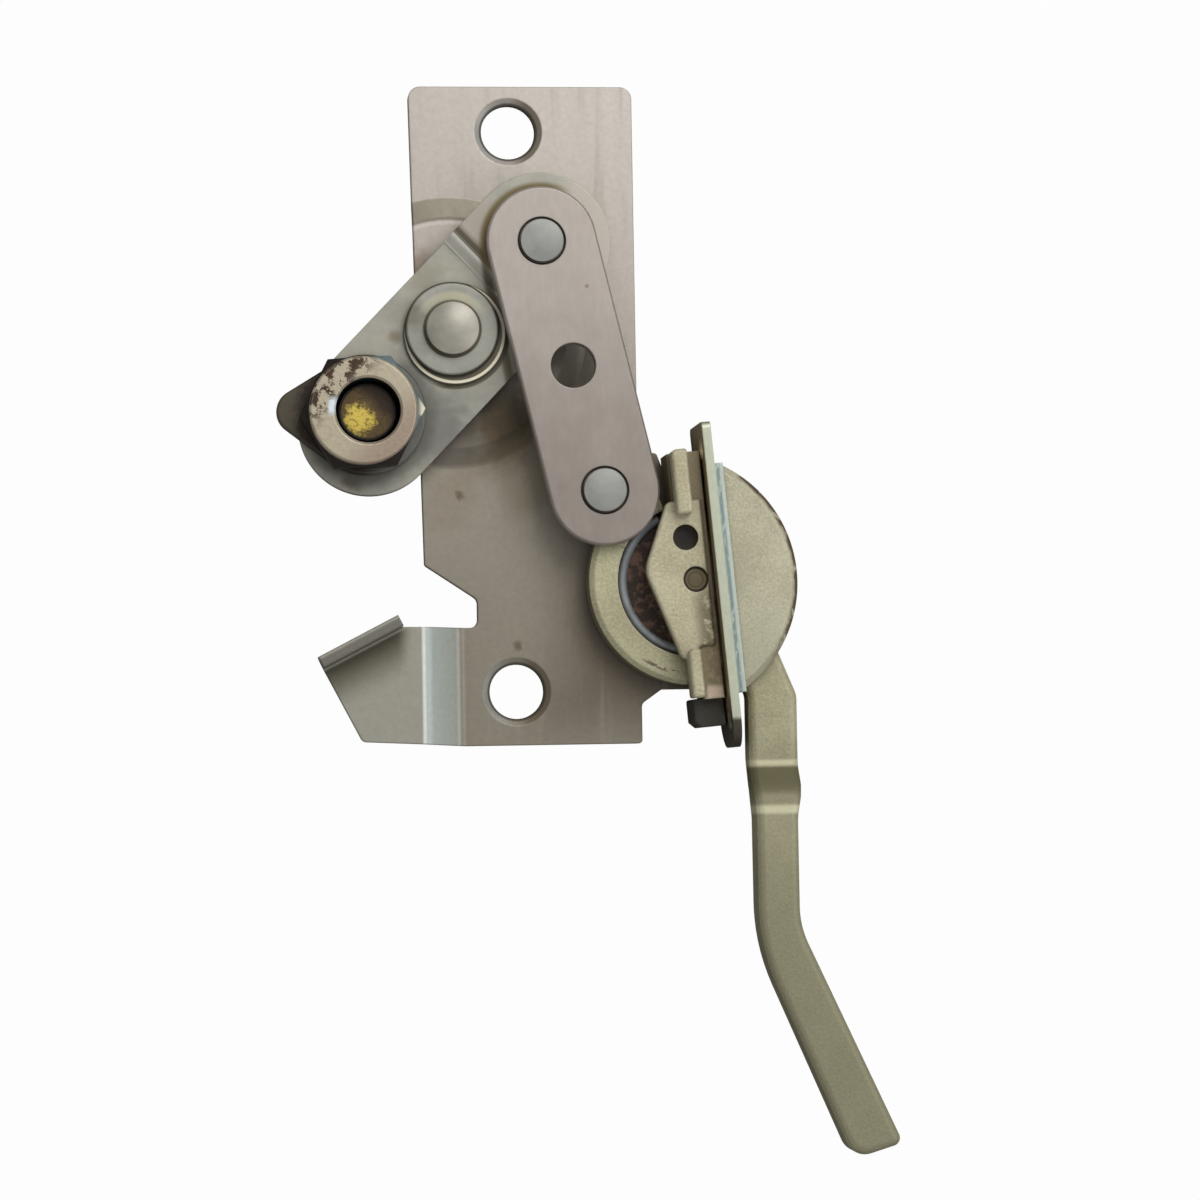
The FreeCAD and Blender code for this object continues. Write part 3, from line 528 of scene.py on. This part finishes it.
def satin(name, light, dark, fade=None, spots=(), rings=(), streak=(0.3, 0.3), metallic=0.65, shine=0.36,
          grime_and_shade=0.5, extra=None):
    """Satin metal: two tints, grain, stained spots, greasy rings, and brown muck with painted shade in
    crevices.
    """
    made, start = material(name)
    p = place_in_mm(start)
    grain = noise(stretched(p, *streak), 3.0, 3.0, 0.6)
    clouds = noise(p, 0.14, 4.0, 0.55)
    share = rise(clouds, 0.66, 0.34)
    if fade is not None:
        share = rise(axis(p, "Y") + clouds * 6, *fade) * 0.8 + share * 0.2
    base = mix(light, dark, share)
    base = darken(base, 0.9 + grain * 0.2)
    for centre, reach, colour, strength in spots:
        smear = rise(radius_from(p, centre) + noise(p, 0.6) * reach * 0.8, reach * 1.4, reach * 0.6)
        base = mix(base, colour, smear * strength)
    for centre, radius, half, colour in rings:
        base = mix(base, colour, ring_mark(p, centre, radius, half))
    # Brown in the crevices, from occlusion: partly grease, partly painted shade.
    base = mix(base, BROWN, rise(crevice(start, 1.4), 0.8, 0.2) * grime_and_shade)
    base = mix(base, dark, edge_of(start, 0.3) * 0.35)
    if extra is not None:
        base = extra(p, base)
    surface(start, base, shine + clouds * 0.16, metallic, grain, 0.008, 0.25)
    return made


# %% [markdown]
# The adjuster is a zinc hexagon with a round crown. Its face is tan, pinkish towards the lower right, and
# chipped to brown along the upper left. Its mouth and edges are rubbed bright, and a painted glint sits on
# the left of its mouth. Below the crown the sides are painted with shade, nearly black with grease on the
# left and blue-grey on the upper right, and the right corner has a painted highlight. The bore's wall is
# painted dark with shade.

# %% Adjuster sleeve
CROWN_DROP = 2.2
BORE_R = 4.75


def sleeve_zinc():
    made, start = material("sleeve_zinc")
    p = place_in_mm(start)
    x, y, z = axes(p, "XYZ")
    across = x - STUD[0]
    up = y - STUD[1]
    speckle = noise(p, 1.6, 4.0, 0.65)
    base = mix(rgb(182, 171, 148), rgb(160, 142, 124), rise(across - up + speckle * 5, 3, 11))
    base = darken(base, 0.72 + speckle * 0.54)
    chips = rise(noise(p, 0.6, 5.0, 0.65), 0.48, 0.55) * rise(up - across, 3.5, 8.5)
    base = mix(base, rgb(76, 58, 44), chips)
    base = mix(base, rgb(236, 228, 204), edge_of(start, 0.28) * 0.65)
    # Painted highlight: a glint on the left of the mouth.
    glint = ring_mark(p, STUD, BORE_R + 0.5, 0.3, 0.6) * band(up, 0.6, 0.5, 1.3) * rise(across, -2, -4)
    base = mix(base, rgb(222, 232, 240), glint * 0.9)
    # Below the crown: painted shade, with grease on the left, and a painted highlight on the right corner.
    low_part = rise(z, SLEEVE_TOP - CROWN_DROP + 0.25, SLEEVE_TOP - CROWN_DROP - 0.05)
    sides = mix(rgb(36, 28, 22), rgb(92, 106, 110), rise(across + up * 0.8 + speckle * 3, 3.0, 7.5))
    corner_highlight = band(up, 0.8, 1.1, 0.6) * rise(across, 7.2, 8.2)
    base = mix(base, mix(sides, rgb(226, 220, 196), corner_highlight), low_part)
    # Painted shade on the bore's wall.
    bore = rise(radius_from(p, STUD), BORE_R + 0.15, BORE_R) * rise(z, SLEEVE_TOP - 0.35, SLEEVE_TOP - 0.6)
    base = mix(base, mix(rgb(34, 28, 22), rgb(50, 66, 70), rise(up - across, 0, 6)), bore)
    surface(start, base, 0.34 + chips * 0.3 + speckle * 0.15, 0.55, speckle - chips * 0.5, 0.03, 0.2)
    return made


print("sleeve: bore radius", BORE_R, "mm, crown", CROWN_DROP, "mm deep, top at", round(SLEEVE_TOP, 1), "mm")

# %% [markdown]
# Deep in the bore is the brass end of the stud. Tools have scraped it bright yellow at the lower left; the
# rest is mottled brown, with the painted shadow of the bore's wall over its upper right and a black ring of
# painted shade round its edge. Below the sleeve lies the cam plate: brown with old grease at its nose, with
# the sleeve's painted shadow beside it, and clean grey where it has rubbed on the right.

# %% Stud and cam plate
BRASS_R = 4.0
SCRAPED_AT = (STUD[0] - 1.2, STUD[1] - 1.0)


def stud_brass():
    made, start = material("stud_brass")
    p = place_in_mm(start)
    x, y = axes(p)
    mottled = noise(p, 1.1, 5.0, 0.75)
    scraped = rise(radius_from(p, SCRAPED_AT) + mottled * 4.6, 5.0, 3.6)
    base = mix(rgb(92, 74, 44), rgb(216, 190, 88), scraped)
    base = mix(base, rgb(70, 52, 30), rise(noise(p, 1.5, 4.0, 0.7), 0.55, 0.62) * 0.7)
    # Painted shadow of the bore's wall over the upper right.
    shaded = rise(x + y - STUD[0] - STUD[1] + mottled * 3, 2.6, 5.0)
    base = mix(base, rgb(52, 38, 30), shaded * 0.9)
    # Painted shade: a black ring round the edge of the stud.
    base = mix(base, rgb(24, 20, 16), rise(radius_from(p, STUD), BRASS_R - 0.3, BRASS_R))
    surface(start, base, 0.4, 0.55, mottled, 0.05, 0.2)
    return made


def cam_steel():
    made, start = material("dark_steel")
    p = place_in_mm(start)
    x = axis(p, "X")
    grain = noise(p, 1.4, 4.0, 0.6)
    base = mix(rgb(86, 78, 64), rgb(104, 104, 98), rise(x, STUD[0] - 4, STUD[0] + 5))
    # Painted shadow of the sleeve, on the left of it.
    sleeve_shadow = rise(radius_from(p, STUD) + grain * 2, 12.4, 9.8)
    base = mix(base, rgb(42, 32, 25), sleeve_shadow * rise(x, STUD[0] + 3, STUD[0] - 2))
    base = mix(base, rgb(118, 112, 94), edge_of(start, 0.3) * 0.45)
    base = darken(base, 0.84 + grain * 0.3)
    surface(start, base, 0.5, 0.45, grain, 0.03, 0.25)
    return made


# %% [markdown]
# Handle, housing and shroud are castings under one coat of champagne paint with a fine pebbled skin. The
# pebbles are too small and too many to model, so they are bump. Paint wears first on edges, so the edge mask
# adds a pale rubbed line and, with noise, dark chips. Grime gathers where no rag reaches, and shade is
# painted where little light falls, so each casting names its own masks of grime and painted light. A
# painted shade darkens the handle from the shroud towards its tip.

# %% Cast paint
CHIP_SHARE = 0.35


def paint_skin(start, p, light, dark, falloff_shade):
    """The coat itself: its colour, its pebbles, the chips along its edges and a painted shade downwards."""
    pebbles = noise(p, 2.6, 3.0, 0.65)
    base = mix(dark, light, rise(noise(p, 0.1, 3.0) * 0.6 + pebbles * 0.4, 0.36, 0.62))
    # Painted shade: the coat darkens downwards, where less light falls.
    if falloff_shade is not None:
        colour, high_y, low_y = falloff_shade
        base = mix(base, colour, rise(axis(p, "Y") + noise(p, 0.1) * 16, high_y, low_y) * 0.85)
    base = darken(base, 0.8 + pebbles * 0.4)
    edges = edge_of(start, 0.45)
    base = mix(base, rgb(222, 220, 200), edges * 0.3)
    chips = edges * rise(noise(p, 0.9, 3.0, 0.6), 0.6, 0.66) * CHIP_SHARE
    return mix(base, rgb(66, 54, 38), chips), pebbles, chips


def cast_paint(name, light, dark, dirt_and_painted_light, falloff_shade=None):
    """A painted casting: marks are mask makers and colours, and the last gives a painted shade and its
    heights.
    """
    made, start = material(name)
    p = place_in_mm(start)
    base, pebbles, chips = paint_skin(start, p, light, dark, falloff_shade)
    for mask_of, colour in dirt_and_painted_light:
        base = mix(base, colour, mask_of(p))
    # Brown in the crevices, from occlusion: grime and painted shade together.
    base = mix(base, rgb(78, 62, 42), rise(crevice(start, 2.2), 0.75, 0.2) * 0.65)
    surface(start, base, 0.5 + pebbles * 0.1, 0.25, pebbles - chips * 0.6, 0.05, 0.45)
    return made


# %% [markdown]
# The masks of grime and painted light are plain geometry: a distance from an axis, a height, or a place
# along the lever. The hub's pocket holds old grease and rust on its floor, with painted shade over them. The
# hub's rim is chipped at the lower left, and its outer wall has painted shade. The lever's joggle has painted
# shade between the painted highlights of its two bends.

# %% Grime and painted light on the lever
HUB_R = 15.5
HUB_WALL_TOP = 7.2
HUB_CHIPS_R = 13.9
POCKET_R = 11.3
POCKET_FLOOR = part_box("spring_ring")[0].z / MM
STEP_Y = -53.3
STEP_LOW_Y = STEP_Y - 6.8


def hub_pocket(p):
    """The pocket's floor, without its lower right end."""
    x, y, z = axes(p, "XYZ")
    inside = rise(radius_from(p, HANDLE_PIN), POCKET_R + 0.15, POCKET_R - 0.1)
    return inside * rise(z, POCKET_FLOOR + 1.2, POCKET_FLOOR + 0.3) * rise(y - x, -62, -58)


def pocket_rust(p):
    return hub_pocket(p) * rise(noise(p, 0.7, 4.0, 0.65), 0.47, 0.6) * 0.85


def hub_chips(p):
    """A broken line of chips along the rim."""
    lower_left = rise(axis(p, "Y"), HANDLE_PIN[1] - 11.2, HANDLE_PIN[1] - 12.2)
    broken = rise(noise(p, 1.1, 2.0), 0.46, 0.54)
    return ring_mark(p, HANDLE_PIN, HUB_CHIPS_R, 0.18, 0.15) * broken * lower_left * 0.8


# Painted shade on the hub's outer wall, on the left.
def hub_wall_shade(p):
    x, z = axes(p, "XZ")
    outside = rise(radius_from(p, HANDLE_PIN), HUB_R - 0.5, HUB_R - 0.1)
    below_top = rise(z, HUB_WALL_TOP, HUB_WALL_TOP - 0.6)
    return outside * below_top * rise(x, HANDLE_PIN[0] + 4, HANDLE_PIN[0]) * 0.8


def joggle_shade(p):
    """Painted shade just below the upper bend, fading towards the lower one."""
    y = axis(p, "Y")
    return rise(y, STEP_Y - 0.3, STEP_Y - 0.8) * rise(y, STEP_LOW_Y - 0.1, STEP_Y - 2.6) * 0.95


# Painted highlights along the joggle's two bends.
def joggle_highlights(p):
    y = axis(p, "Y")
    return band(y, STEP_Y + 0.1, 0.2, 0.5) * 0.5 + band(y, STEP_LOW_Y, 0.25, 0.7) * 0.8


print("pocket floor", round(POCKET_FLOOR, 1), "mm, joggle from y", STEP_Y, "to", round(STEP_LOW_Y, 1))

# %% [markdown]
# On the housing, all that lies below the cheek is brown with grime and painted shade. The cheek's lower
# right corner is stained, painted shade fills the spare hole, the flange's end is rubbed bright, and the
# lower block, which sits deepest, is painted nearly black with shade. The shroud has lost its paint along
# the rim. Heights are counted down from the lugs, which are the casting's highest points, and places along
# the face plate from its tilted line.

# %% Grime and painted shade on housing and shroud
LUG_RISE = 2.3
CHEEK_TOP = CASTING_TOP - LUG_RISE
BLOCK_TOP_Z = 8.3
BLOCK_TOP_Y = -42
SPARE_HOLE = (24.55, -19.8)
PIN_HOLE_R = 1.9
FLANGE_END = (27.2, -41.2)
SHROUD_AT = (22.1, -26.4)
SHROUD_R = 19.2
FACE_LINE = (28.9, -26.0)
FACE_TILT = 5.0


# Brown below the cheek: grime and painted shade.
def below_cheek(p):
    return rise(axis(p, "Z"), CHEEK_TOP - 0.2, CHEEK_TOP - 0.6) * 0.7


def cheek_corner(p):
    patchy = rise(noise(p, 0.8, 4.0, 0.6), 0.36, 0.52)
    near_face = rise(along_line(p, FACE_LINE, FACE_TILT), -4.6, -2.0)
    return near_face * rise(axis(p, "Y"), -24, -31) * patchy * 0.85


# Painted shade: the deepest block is nearly black.
def lower_block_shade(p):
    y, z = axes(p, "YZ")
    return rise(z, BLOCK_TOP_Z + 0.2, BLOCK_TOP_Z - 0.1) * rise(y, BLOCK_TOP_Y, BLOCK_TOP_Y - 1)


# Painted shade inside the spare hole.
def spare_hole_shade(p):
    inside = rise(radius_from(p, SPARE_HOLE), PIN_HOLE_R + 0.1, PIN_HOLE_R - 0.05)
    return inside * rise(axis(p, "Z"), CHEEK_TOP, CHEEK_TOP - 0.2)


def flange_end(p):
    x, y, z = axes(p, "XYZ")
    corner = rise(y, FLANGE_END[1], FLANGE_END[1] - 1) * rise(x, FLANGE_END[0], FLANGE_END[0] + 0.6)
    return corner * band(z, CHEEK_TOP - 0.8, 0.4, 0.1) * 0.7


def shroud_rim(p):
    """Broken patches along the rim, on the right and below."""
    x, y = axes(p)
    rim = rise(radius_from(p, SHROUD_AT) + noise(p, 0.5) * 0.8, SHROUD_R - 0.4, SHROUD_R + 0.1)
    return rim * rise(x + y * 0.3, 23, 31) * rise(noise(p, 0.35), 0.36, 0.46)


print("cheek top", round(CHEEK_TOP, 1), "mm, lower block", BLOCK_TOP_Z, "mm, shroud radius", SHROUD_R, "mm")

# %% [markdown]
# The face plate stands on edge, so we look at a narrow pale strip, its upper edge, and along its left side,
# which has painted shade. The pale strip stops short of the rounded lower end, which has darker painted
# shade. The collar beside it is blue-white, with a thin dark line along it.

# %% Face plate and collar
FAR_BELOW = -100


def edge_strip(name, edge_colour, side_colour, level, line=None, end_y=FAR_BELOW):
    """A strip that is pale on its upper edge, as far down as end_y, with painted shade on its sides and end.
    """
    made, start = material(name)
    p = place_in_mm(start)
    y, z = axes(p, "YZ")
    grain = noise(stretched(p, 1.0, 0.3), 2.0, 3.0, 0.6)
    # Painted shade on the sides, darker on the lower end.
    side = mix(side_colour, rgb(72, 68, 56), rise(y, end_y + 2, end_y - 1))
    base = mix(side, edge_colour, rise(z, level - 0.5, level - 0.15) * rise(y, end_y - 0.8, end_y))
    base = darken(base, 0.84 + grain * 0.32)
    if line is not None:
        colour, away = line
        across = along_line(p, FACE_LINE, FACE_TILT)
        base = mix(base, colour, band(across, away, 0.12, 0.3) * rise(grain, 0.35, 0.5) * 0.8)
    # Brown in the crevices, from occlusion: grime and painted shade.
    base = mix(base, BROWN, rise(crevice(start, 1.2), 0.7, 0.2) * 0.25)
    surface(start, base, 0.36 + grain * 0.1, 0.5, grain, 0.02, 0.25)
    return made


# %% [markdown]
# The spring in the hub's pocket is a round wire. In the CAD it is a strip with broken edges, which keeps its
# facets few, so here Geometry Nodes sweep a circle along an arc, with the radii and angles as named inputs.
# A round section gives the thin bright line that a wire shows. The modifier's inputs are set by identifier
# before it is evaluated, then the result becomes a plain mesh that rides with the handle.

# %% Spring wire
SPRING_START = 118.0
SPRING_SWEEP = 142.0
WIRE_SIDES = 16
ARC_STEPS = 72


def wire_tree(finish):
    """A node tree that sweeps a wire along an arc about the origin."""
    tree = bpy.data.node_groups.new("wire_arc", "GeometryNodeTree")
    for name in ("Arc Radius", "Wire Radius", "Start", "Sweep"):
        tree.interface.new_socket(name, in_out="INPUT", socket_type="NodeSocketFloat")
    tree.interface.new_socket("Geometry", in_out="OUTPUT", socket_type="NodeSocketGeometry")
    sizes_in = tree.nodes.new("NodeGroupInput")
    arc = tree.nodes.new("GeometryNodeCurveArc")
    arc.inputs["Resolution"].default_value = ARC_STEPS
    circle = tree.nodes.new("GeometryNodeCurvePrimitiveCircle")
    circle.inputs["Resolution"].default_value = WIRE_SIDES
    sweep = tree.nodes.new("GeometryNodeCurveToMesh")
    sweep.inputs["Fill Caps"].default_value = True
    realize = tree.nodes.new("GeometryNodeRealizeInstances")
    paint = tree.nodes.new("GeometryNodeSetMaterial")
    paint.inputs["Material"].default_value = finish
    result = tree.nodes.new("NodeGroupOutput")
    join = tree.links.new
    join(sizes_in.outputs["Arc Radius"], arc.inputs["Radius"])
    join(sizes_in.outputs["Start"], arc.inputs["Start Angle"])
    join(sizes_in.outputs["Sweep"], arc.inputs["Sweep Angle"])
    join(sizes_in.outputs["Wire Radius"], circle.inputs["Radius"])
    join(arc.outputs["Curve"], sweep.inputs["Curve"])
    join(circle.outputs["Curve"], sweep.inputs["Profile Curve"])
    join(sweep.outputs["Mesh"], realize.inputs["Geometry"])
    join(realize.outputs["Geometry"], paint.inputs["Geometry"])
    join(paint.outputs["Geometry"], result.inputs["Geometry"])
    return tree


def grown(name, tree, sizes):
    """Runs a node tree with the given sizes and keeps the result as a plain mesh object."""
    item = add_object(name, bpy.data.meshes.new(name + "_seed"))
    modifier = item.modifiers.new("nodes", "NODES")
    modifier.node_group = tree
    for socket in tree.interface.items_tree:
        if socket.in_out == "INPUT":
            modifier[socket.identifier] = sizes[socket.name]
    seen = item.evaluated_get(bpy.context.evaluated_depsgraph_get())
    mesh = bpy.data.meshes.new_from_object(seen)
    item.modifiers.clear()
    item.data = mesh
    return item


def spring(finish):
    low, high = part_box("spring_ring")
    wire = (high.z - low.z) / 2
    reach = HANDLE_PIN[0] * MM - low.x
    sizes = {"Arc Radius": reach - wire, "Wire Radius": wire,
             "Start": math.radians(SPRING_START), "Sweep": math.radians(SPRING_SWEEP)}
    item = grown("wire_spring", wire_tree(finish), sizes)
    item.data.transform(Matrix.Translation((HANDLE_PIN[0] * MM, HANDLE_PIN[1] * MM, (low.z + high.z) / 2)))
    item.data.shade_smooth()
    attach(item, "handle")
    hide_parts("spring_ring")
    print("spring: wire", round(2 * wire / MM, 2), "mm, faces", len(item.data.polygons))


# %% [markdown]
# Some marks belong to one piece. The crank's bend has a painted highlight with a line of painted shade
# beyond it, and the link's round end has pressed a film of grease out on it. The link and the sleeve have
# painted shadows on the crank, and the wide washer a ring of painted shade. The wide washer hangs off
# centre, so it shows a rubbed crescent at the lower right. All the steel pieces are then made from the
# satin finish, with their colours written as a screen shows them.

# %% Finishes of the steel pieces
CRANK_ANGLE = 43.7
BEND_BRIGHT = 9.3
BEND_DARK = 10.8
PRESSED_R = 8.35
LINK_SIDE = -168.4
LINK_SIDE_AWAY = 8.5
WASHER_AT = (PIVOT[0] + 0.43, PIVOT[1] - 0.55)
CRESCENT_R = 7.25
CRESCENT_SHADE_R = 7.9
DARK_RING = rgb(48, 40, 32)


def crank_extra(p, base):
    """Painted highlight and shade at the joggle, painted shadows of the neighbours, and grease from the link.
    """
    x, y = axes(p)
    along = along_line(p, PIVOT, CRANK_ANGLE)
    # Painted highlight on the bend, and painted shade along the line beyond it.
    base = mix(base, rgb(255, 252, 242), band(along, BEND_BRIGHT, 0.7, 0.15))
    base = mix(base, rgb(104, 90, 70), band(along, BEND_DARK, 0.2, 0.45) * 0.85)
    # The raised part is darker: painted shadow of the link.
    raised = rise(along, BEND_DARK + 0.1, BEND_DARK + 0.8) * rise(along, 19, 14)
    base = mix(base, rgb(158, 149, 137), raised * 0.8)
    base = mix(base, rgb(174, 167, 157), rise(along, 14, 17) * rise(x - y, -28, -22) * 0.95)
    pressed = ring_mark(p, UPPER_RIVET, PRESSED_R, 0.2, 0.9) * rise(y - x, 22, 27)
    base = mix(base, rgb(100, 86, 48), pressed * 0.9)
    # Painted shadow along the link's left edge.
    link_shadow = band(along_line(p, UPPER_RIVET, LINK_SIDE), LINK_SIDE_AWAY, 0.3, 0.8) * rise(y, 25, 21)
    base = mix(base, rgb(92, 80, 54), link_shadow * 0.8)
    # Painted shadow of the sleeve.
    shadow = rise(radius_from(p, STUD) + noise(p, 0.4) * 2, 12.6, 10.2)
    base = mix(base, rgb(96, 95, 88), shadow * rise(y - x, STUD[1] - STUD[0] + 6, STUD[1] - STUD[0]) * 0.8)
    # A ring of painted shade round the wide washer.
    lower_right = rise(along_line(p, PIVOT, -50), 3, 6)
    washer_shade = ring_mark(p, WASHER_AT, CRESCENT_SHADE_R, 0.2, 0.3) * lower_right
    return mix(base, rgb(92, 86, 74), washer_shade)


def wide_extra(p, base):
    """The rubbed crescent that shows beside the small washer."""
    return mix(base, rgb(222, 214, 190), ring_mark(p, WASHER_AT, CRESCENT_R, 0.15, 0.12))


def washer_extra(p, base):
    """A yellow film above the rivet's head."""
    film = ring_mark(p, PIVOT, 4.9, 0.3, 0.7) * rise(axis(p, "Y"), PIVOT[1] + 1.5, PIVOT[1] + 4.5)
    return mix(base, rgb(190, 186, 152), film * 0.5)


def round_rivets(radius, half):
    """A dark ring round each of the link's rivets."""
    return [(rivet, radius, half, DARK_RING) for rivet in (UPPER_RIVET, LOWER_RIVET)]


crank = satin("crank_steel", rgb(165, 162, 149), rgb(148, 146, 135), grime_and_shade=0.6, extra=crank_extra, spots=(
    ((-17.6, 10.8), 1.4, rgb(110, 98, 70), 0.6),
    ((-13.0, 19.5), 4.0, rgb(142, 138, 122), 0.7),
    ((STUD[0] + 10.5, STUD[1] - 2), 7.5, rgb(108, 108, 103), 0.75),
    ((STUD[0] - 2, STUD[1] - 9.4), 2.6, rgb(92, 80, 52), 0.8),
))
link = satin("link_steel", rgb(170, 161, 153), rgb(144, 134, 126), fade=(26, -14), streak=(0.4, 0.12),
             spots=(((10.5, 17.5), 0.5, rgb(120, 104, 96), 0.8),), rings=round_rivets(3.42, 0.08))
rivet_heads = satin("rivet_steel", rgb(152, 152, 146), rgb(134, 135, 130), metallic=0.4, grime_and_shade=0.8,
                    rings=round_rivets(3.25, 0.02))
pivot_head = satin("pivot_steel", rgb(172, 167, 155), rgb(150, 146, 135), metallic=0.6, grime_and_shade=0.8,
                   rings=((PIVOT, 4.0, 0.06, rgb(86, 80, 64)),))
washer = satin("washer_zinc", rgb(160, 158, 148), rgb(144, 143, 133), grime_and_shade=0.8, spots=(
    ((PIVOT[0] - 6, PIVOT[1] + 2), 3.0, GREASE, 0.5),
), rings=((PIVOT, 4.2, 0.08, rgb(92, 86, 70)), (PIVOT, 7.0, 0.1, rgb(70, 64, 52))), extra=washer_extra)
wide_washer = satin("wide_washer_zinc", rgb(112, 107, 92), rgb(96, 90, 76), grime_and_shade=0.9, extra=wide_extra)
wire = satin("spring_wire", rgb(158, 164, 168), rgb(124, 128, 130), metallic=0.2, shine=0.4, grime_and_shade=0.5)
pin = satin("pin_steel", rgb(122, 112, 86), rgb(96, 86, 64), shine=0.45, grime_and_shade=0.9,
            rings=((HANDLE_PIN, 1.9, 0.3, rgb(52, 44, 32)), (HANDLE_PIN, 1.1, 0.05, rgb(84, 74, 54))))
print("wide washer hangs", [round(WASHER_AT[i] - PIVOT[i], 2) for i in range(2)], "mm off the rivet")

# %% [markdown]
# The face plate and its collar take the strip finish, each with its own level. The three castings share the
# paint, and differ in their grime and painted light, and in how far a painted shade darkens them downwards:
# the lever clearly from its hub to its tip, the shroud only a little.

# %% Finishes of the strips and castings
FACE_END_Y = -46.2
COLLAR_LINE_AWAY = 1.9
face = edge_strip("face_zinc", rgb(188, 192, 170), rgb(158, 142, 108), FACE_EDGE_Z, end_y=FACE_END_Y)
collar = edge_strip("collar_zinc", rgb(186, 196, 186), rgb(96, 98, 90), top_of("slot_collar"),
                    line=(rgb(112, 130, 130), COLLAR_LINE_AWAY))
lever_paint = cast_paint("lever_paint", rgb(188, 183, 149), rgb(166, 160, 128), (
    # Grease and painted shade on the pocket's floor.
    (hub_pocket, rgb(54, 40, 31)),
    (pocket_rust, rgb(112, 84, 66)),
    (hub_wall_shade, rgb(74, 66, 48)),
    (hub_chips, rgb(74, 62, 44)),
    (joggle_shade, rgb(98, 93, 66)),
    (joggle_highlights, rgb(210, 205, 172)),
# Painted shade: the lever darkens towards its tip.
), falloff_shade=(rgb(127, 123, 98), -8, -76))
housing_paint = cast_paint("housing_paint", rgb(190, 183, 154), rgb(166, 158, 128), (
    (cheek_corner, rgb(108, 98, 72)),
    (below_cheek, rgb(128, 114, 86)),
    (flange_end, rgb(224, 204, 180)),
    (lower_block_shade, rgb(52, 50, 40)),
    (spare_hole_shade, rgb(22, 19, 15)),
))
shroud_paint = cast_paint("shroud_paint", rgb(188, 183, 157), rgb(170, 164, 138), (
    (shroud_rim, rgb(84, 72, 50)),
# Painted shade: the shroud darkens a little downwards.
), falloff_shade=(rgb(170, 167, 143), -16, -34))
print("collar's dark line", COLLAR_LINE_AWAY, "mm beside the face plate's line")

# %% [markdown]
# Now each node gets its finish. Every node keeps its CAD mesh, apart from the spring. Each row of the table
# names a slot, a finish and its nodes; the slot name is not read.

# %% Give each node its finish


def dress(node, finish):
    """Puts a finish in every material slot of a node."""
    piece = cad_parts[node]
    if not piece.material_slots:
        piece.data.materials.append(finish)
    for material_slot in piece.material_slots:
        material_slot.material = finish


FINISHES = (
    ("plate_steel", plate_steel(), ("base_plate",)),
    ("crank_steel", crank, ("crank_arm",)),
    ("link_steel", link, ("link_bar",)),
    ("rivet_steel", rivet_heads, ("link_rivet_upper", "link_rivet_lower", "housing_rivets",
                                  "face_rivet_upper", "face_rivet_lower")),
    ("rivet_steel", pivot_head, ("pivot_rivet",)),
    ("washer_zinc", washer, ("small_washer", "pivot_spacer", "front_washer", "back_washer")),
    ("washer_zinc", wide_washer, ("wide_washer",)),
    ("dark_steel", cam_steel(), ("cam_plate",)),
    ("stud_brass", stud_brass(), ("adjuster_stud",)),
    ("sleeve_zinc", sleeve_zinc(), ("hex_sleeve",)),
    ("spring_wire", wire, ("spring_ring",)),
    ("pin_steel", pin, ("handle_pin",)),
    ("face_zinc", face, ("face_plate",)),
    ("collar_zinc", collar, ("slot_collar",)),
    ("cast_paint", lever_paint, ("handle_lever",)),
    ("cast_paint", housing_paint, ("lock_housing",)),
    ("cast_paint", shroud_paint, ("shroud",)),
)
for slot, finish, nodes in FINISHES:
    for node in nodes:
        dress(node, finish)
spring(wire)
dressed = {node for slot, finish, nodes in FINISHES for node in nodes}
print("nodes without a finish", sorted(set(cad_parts) - dressed))
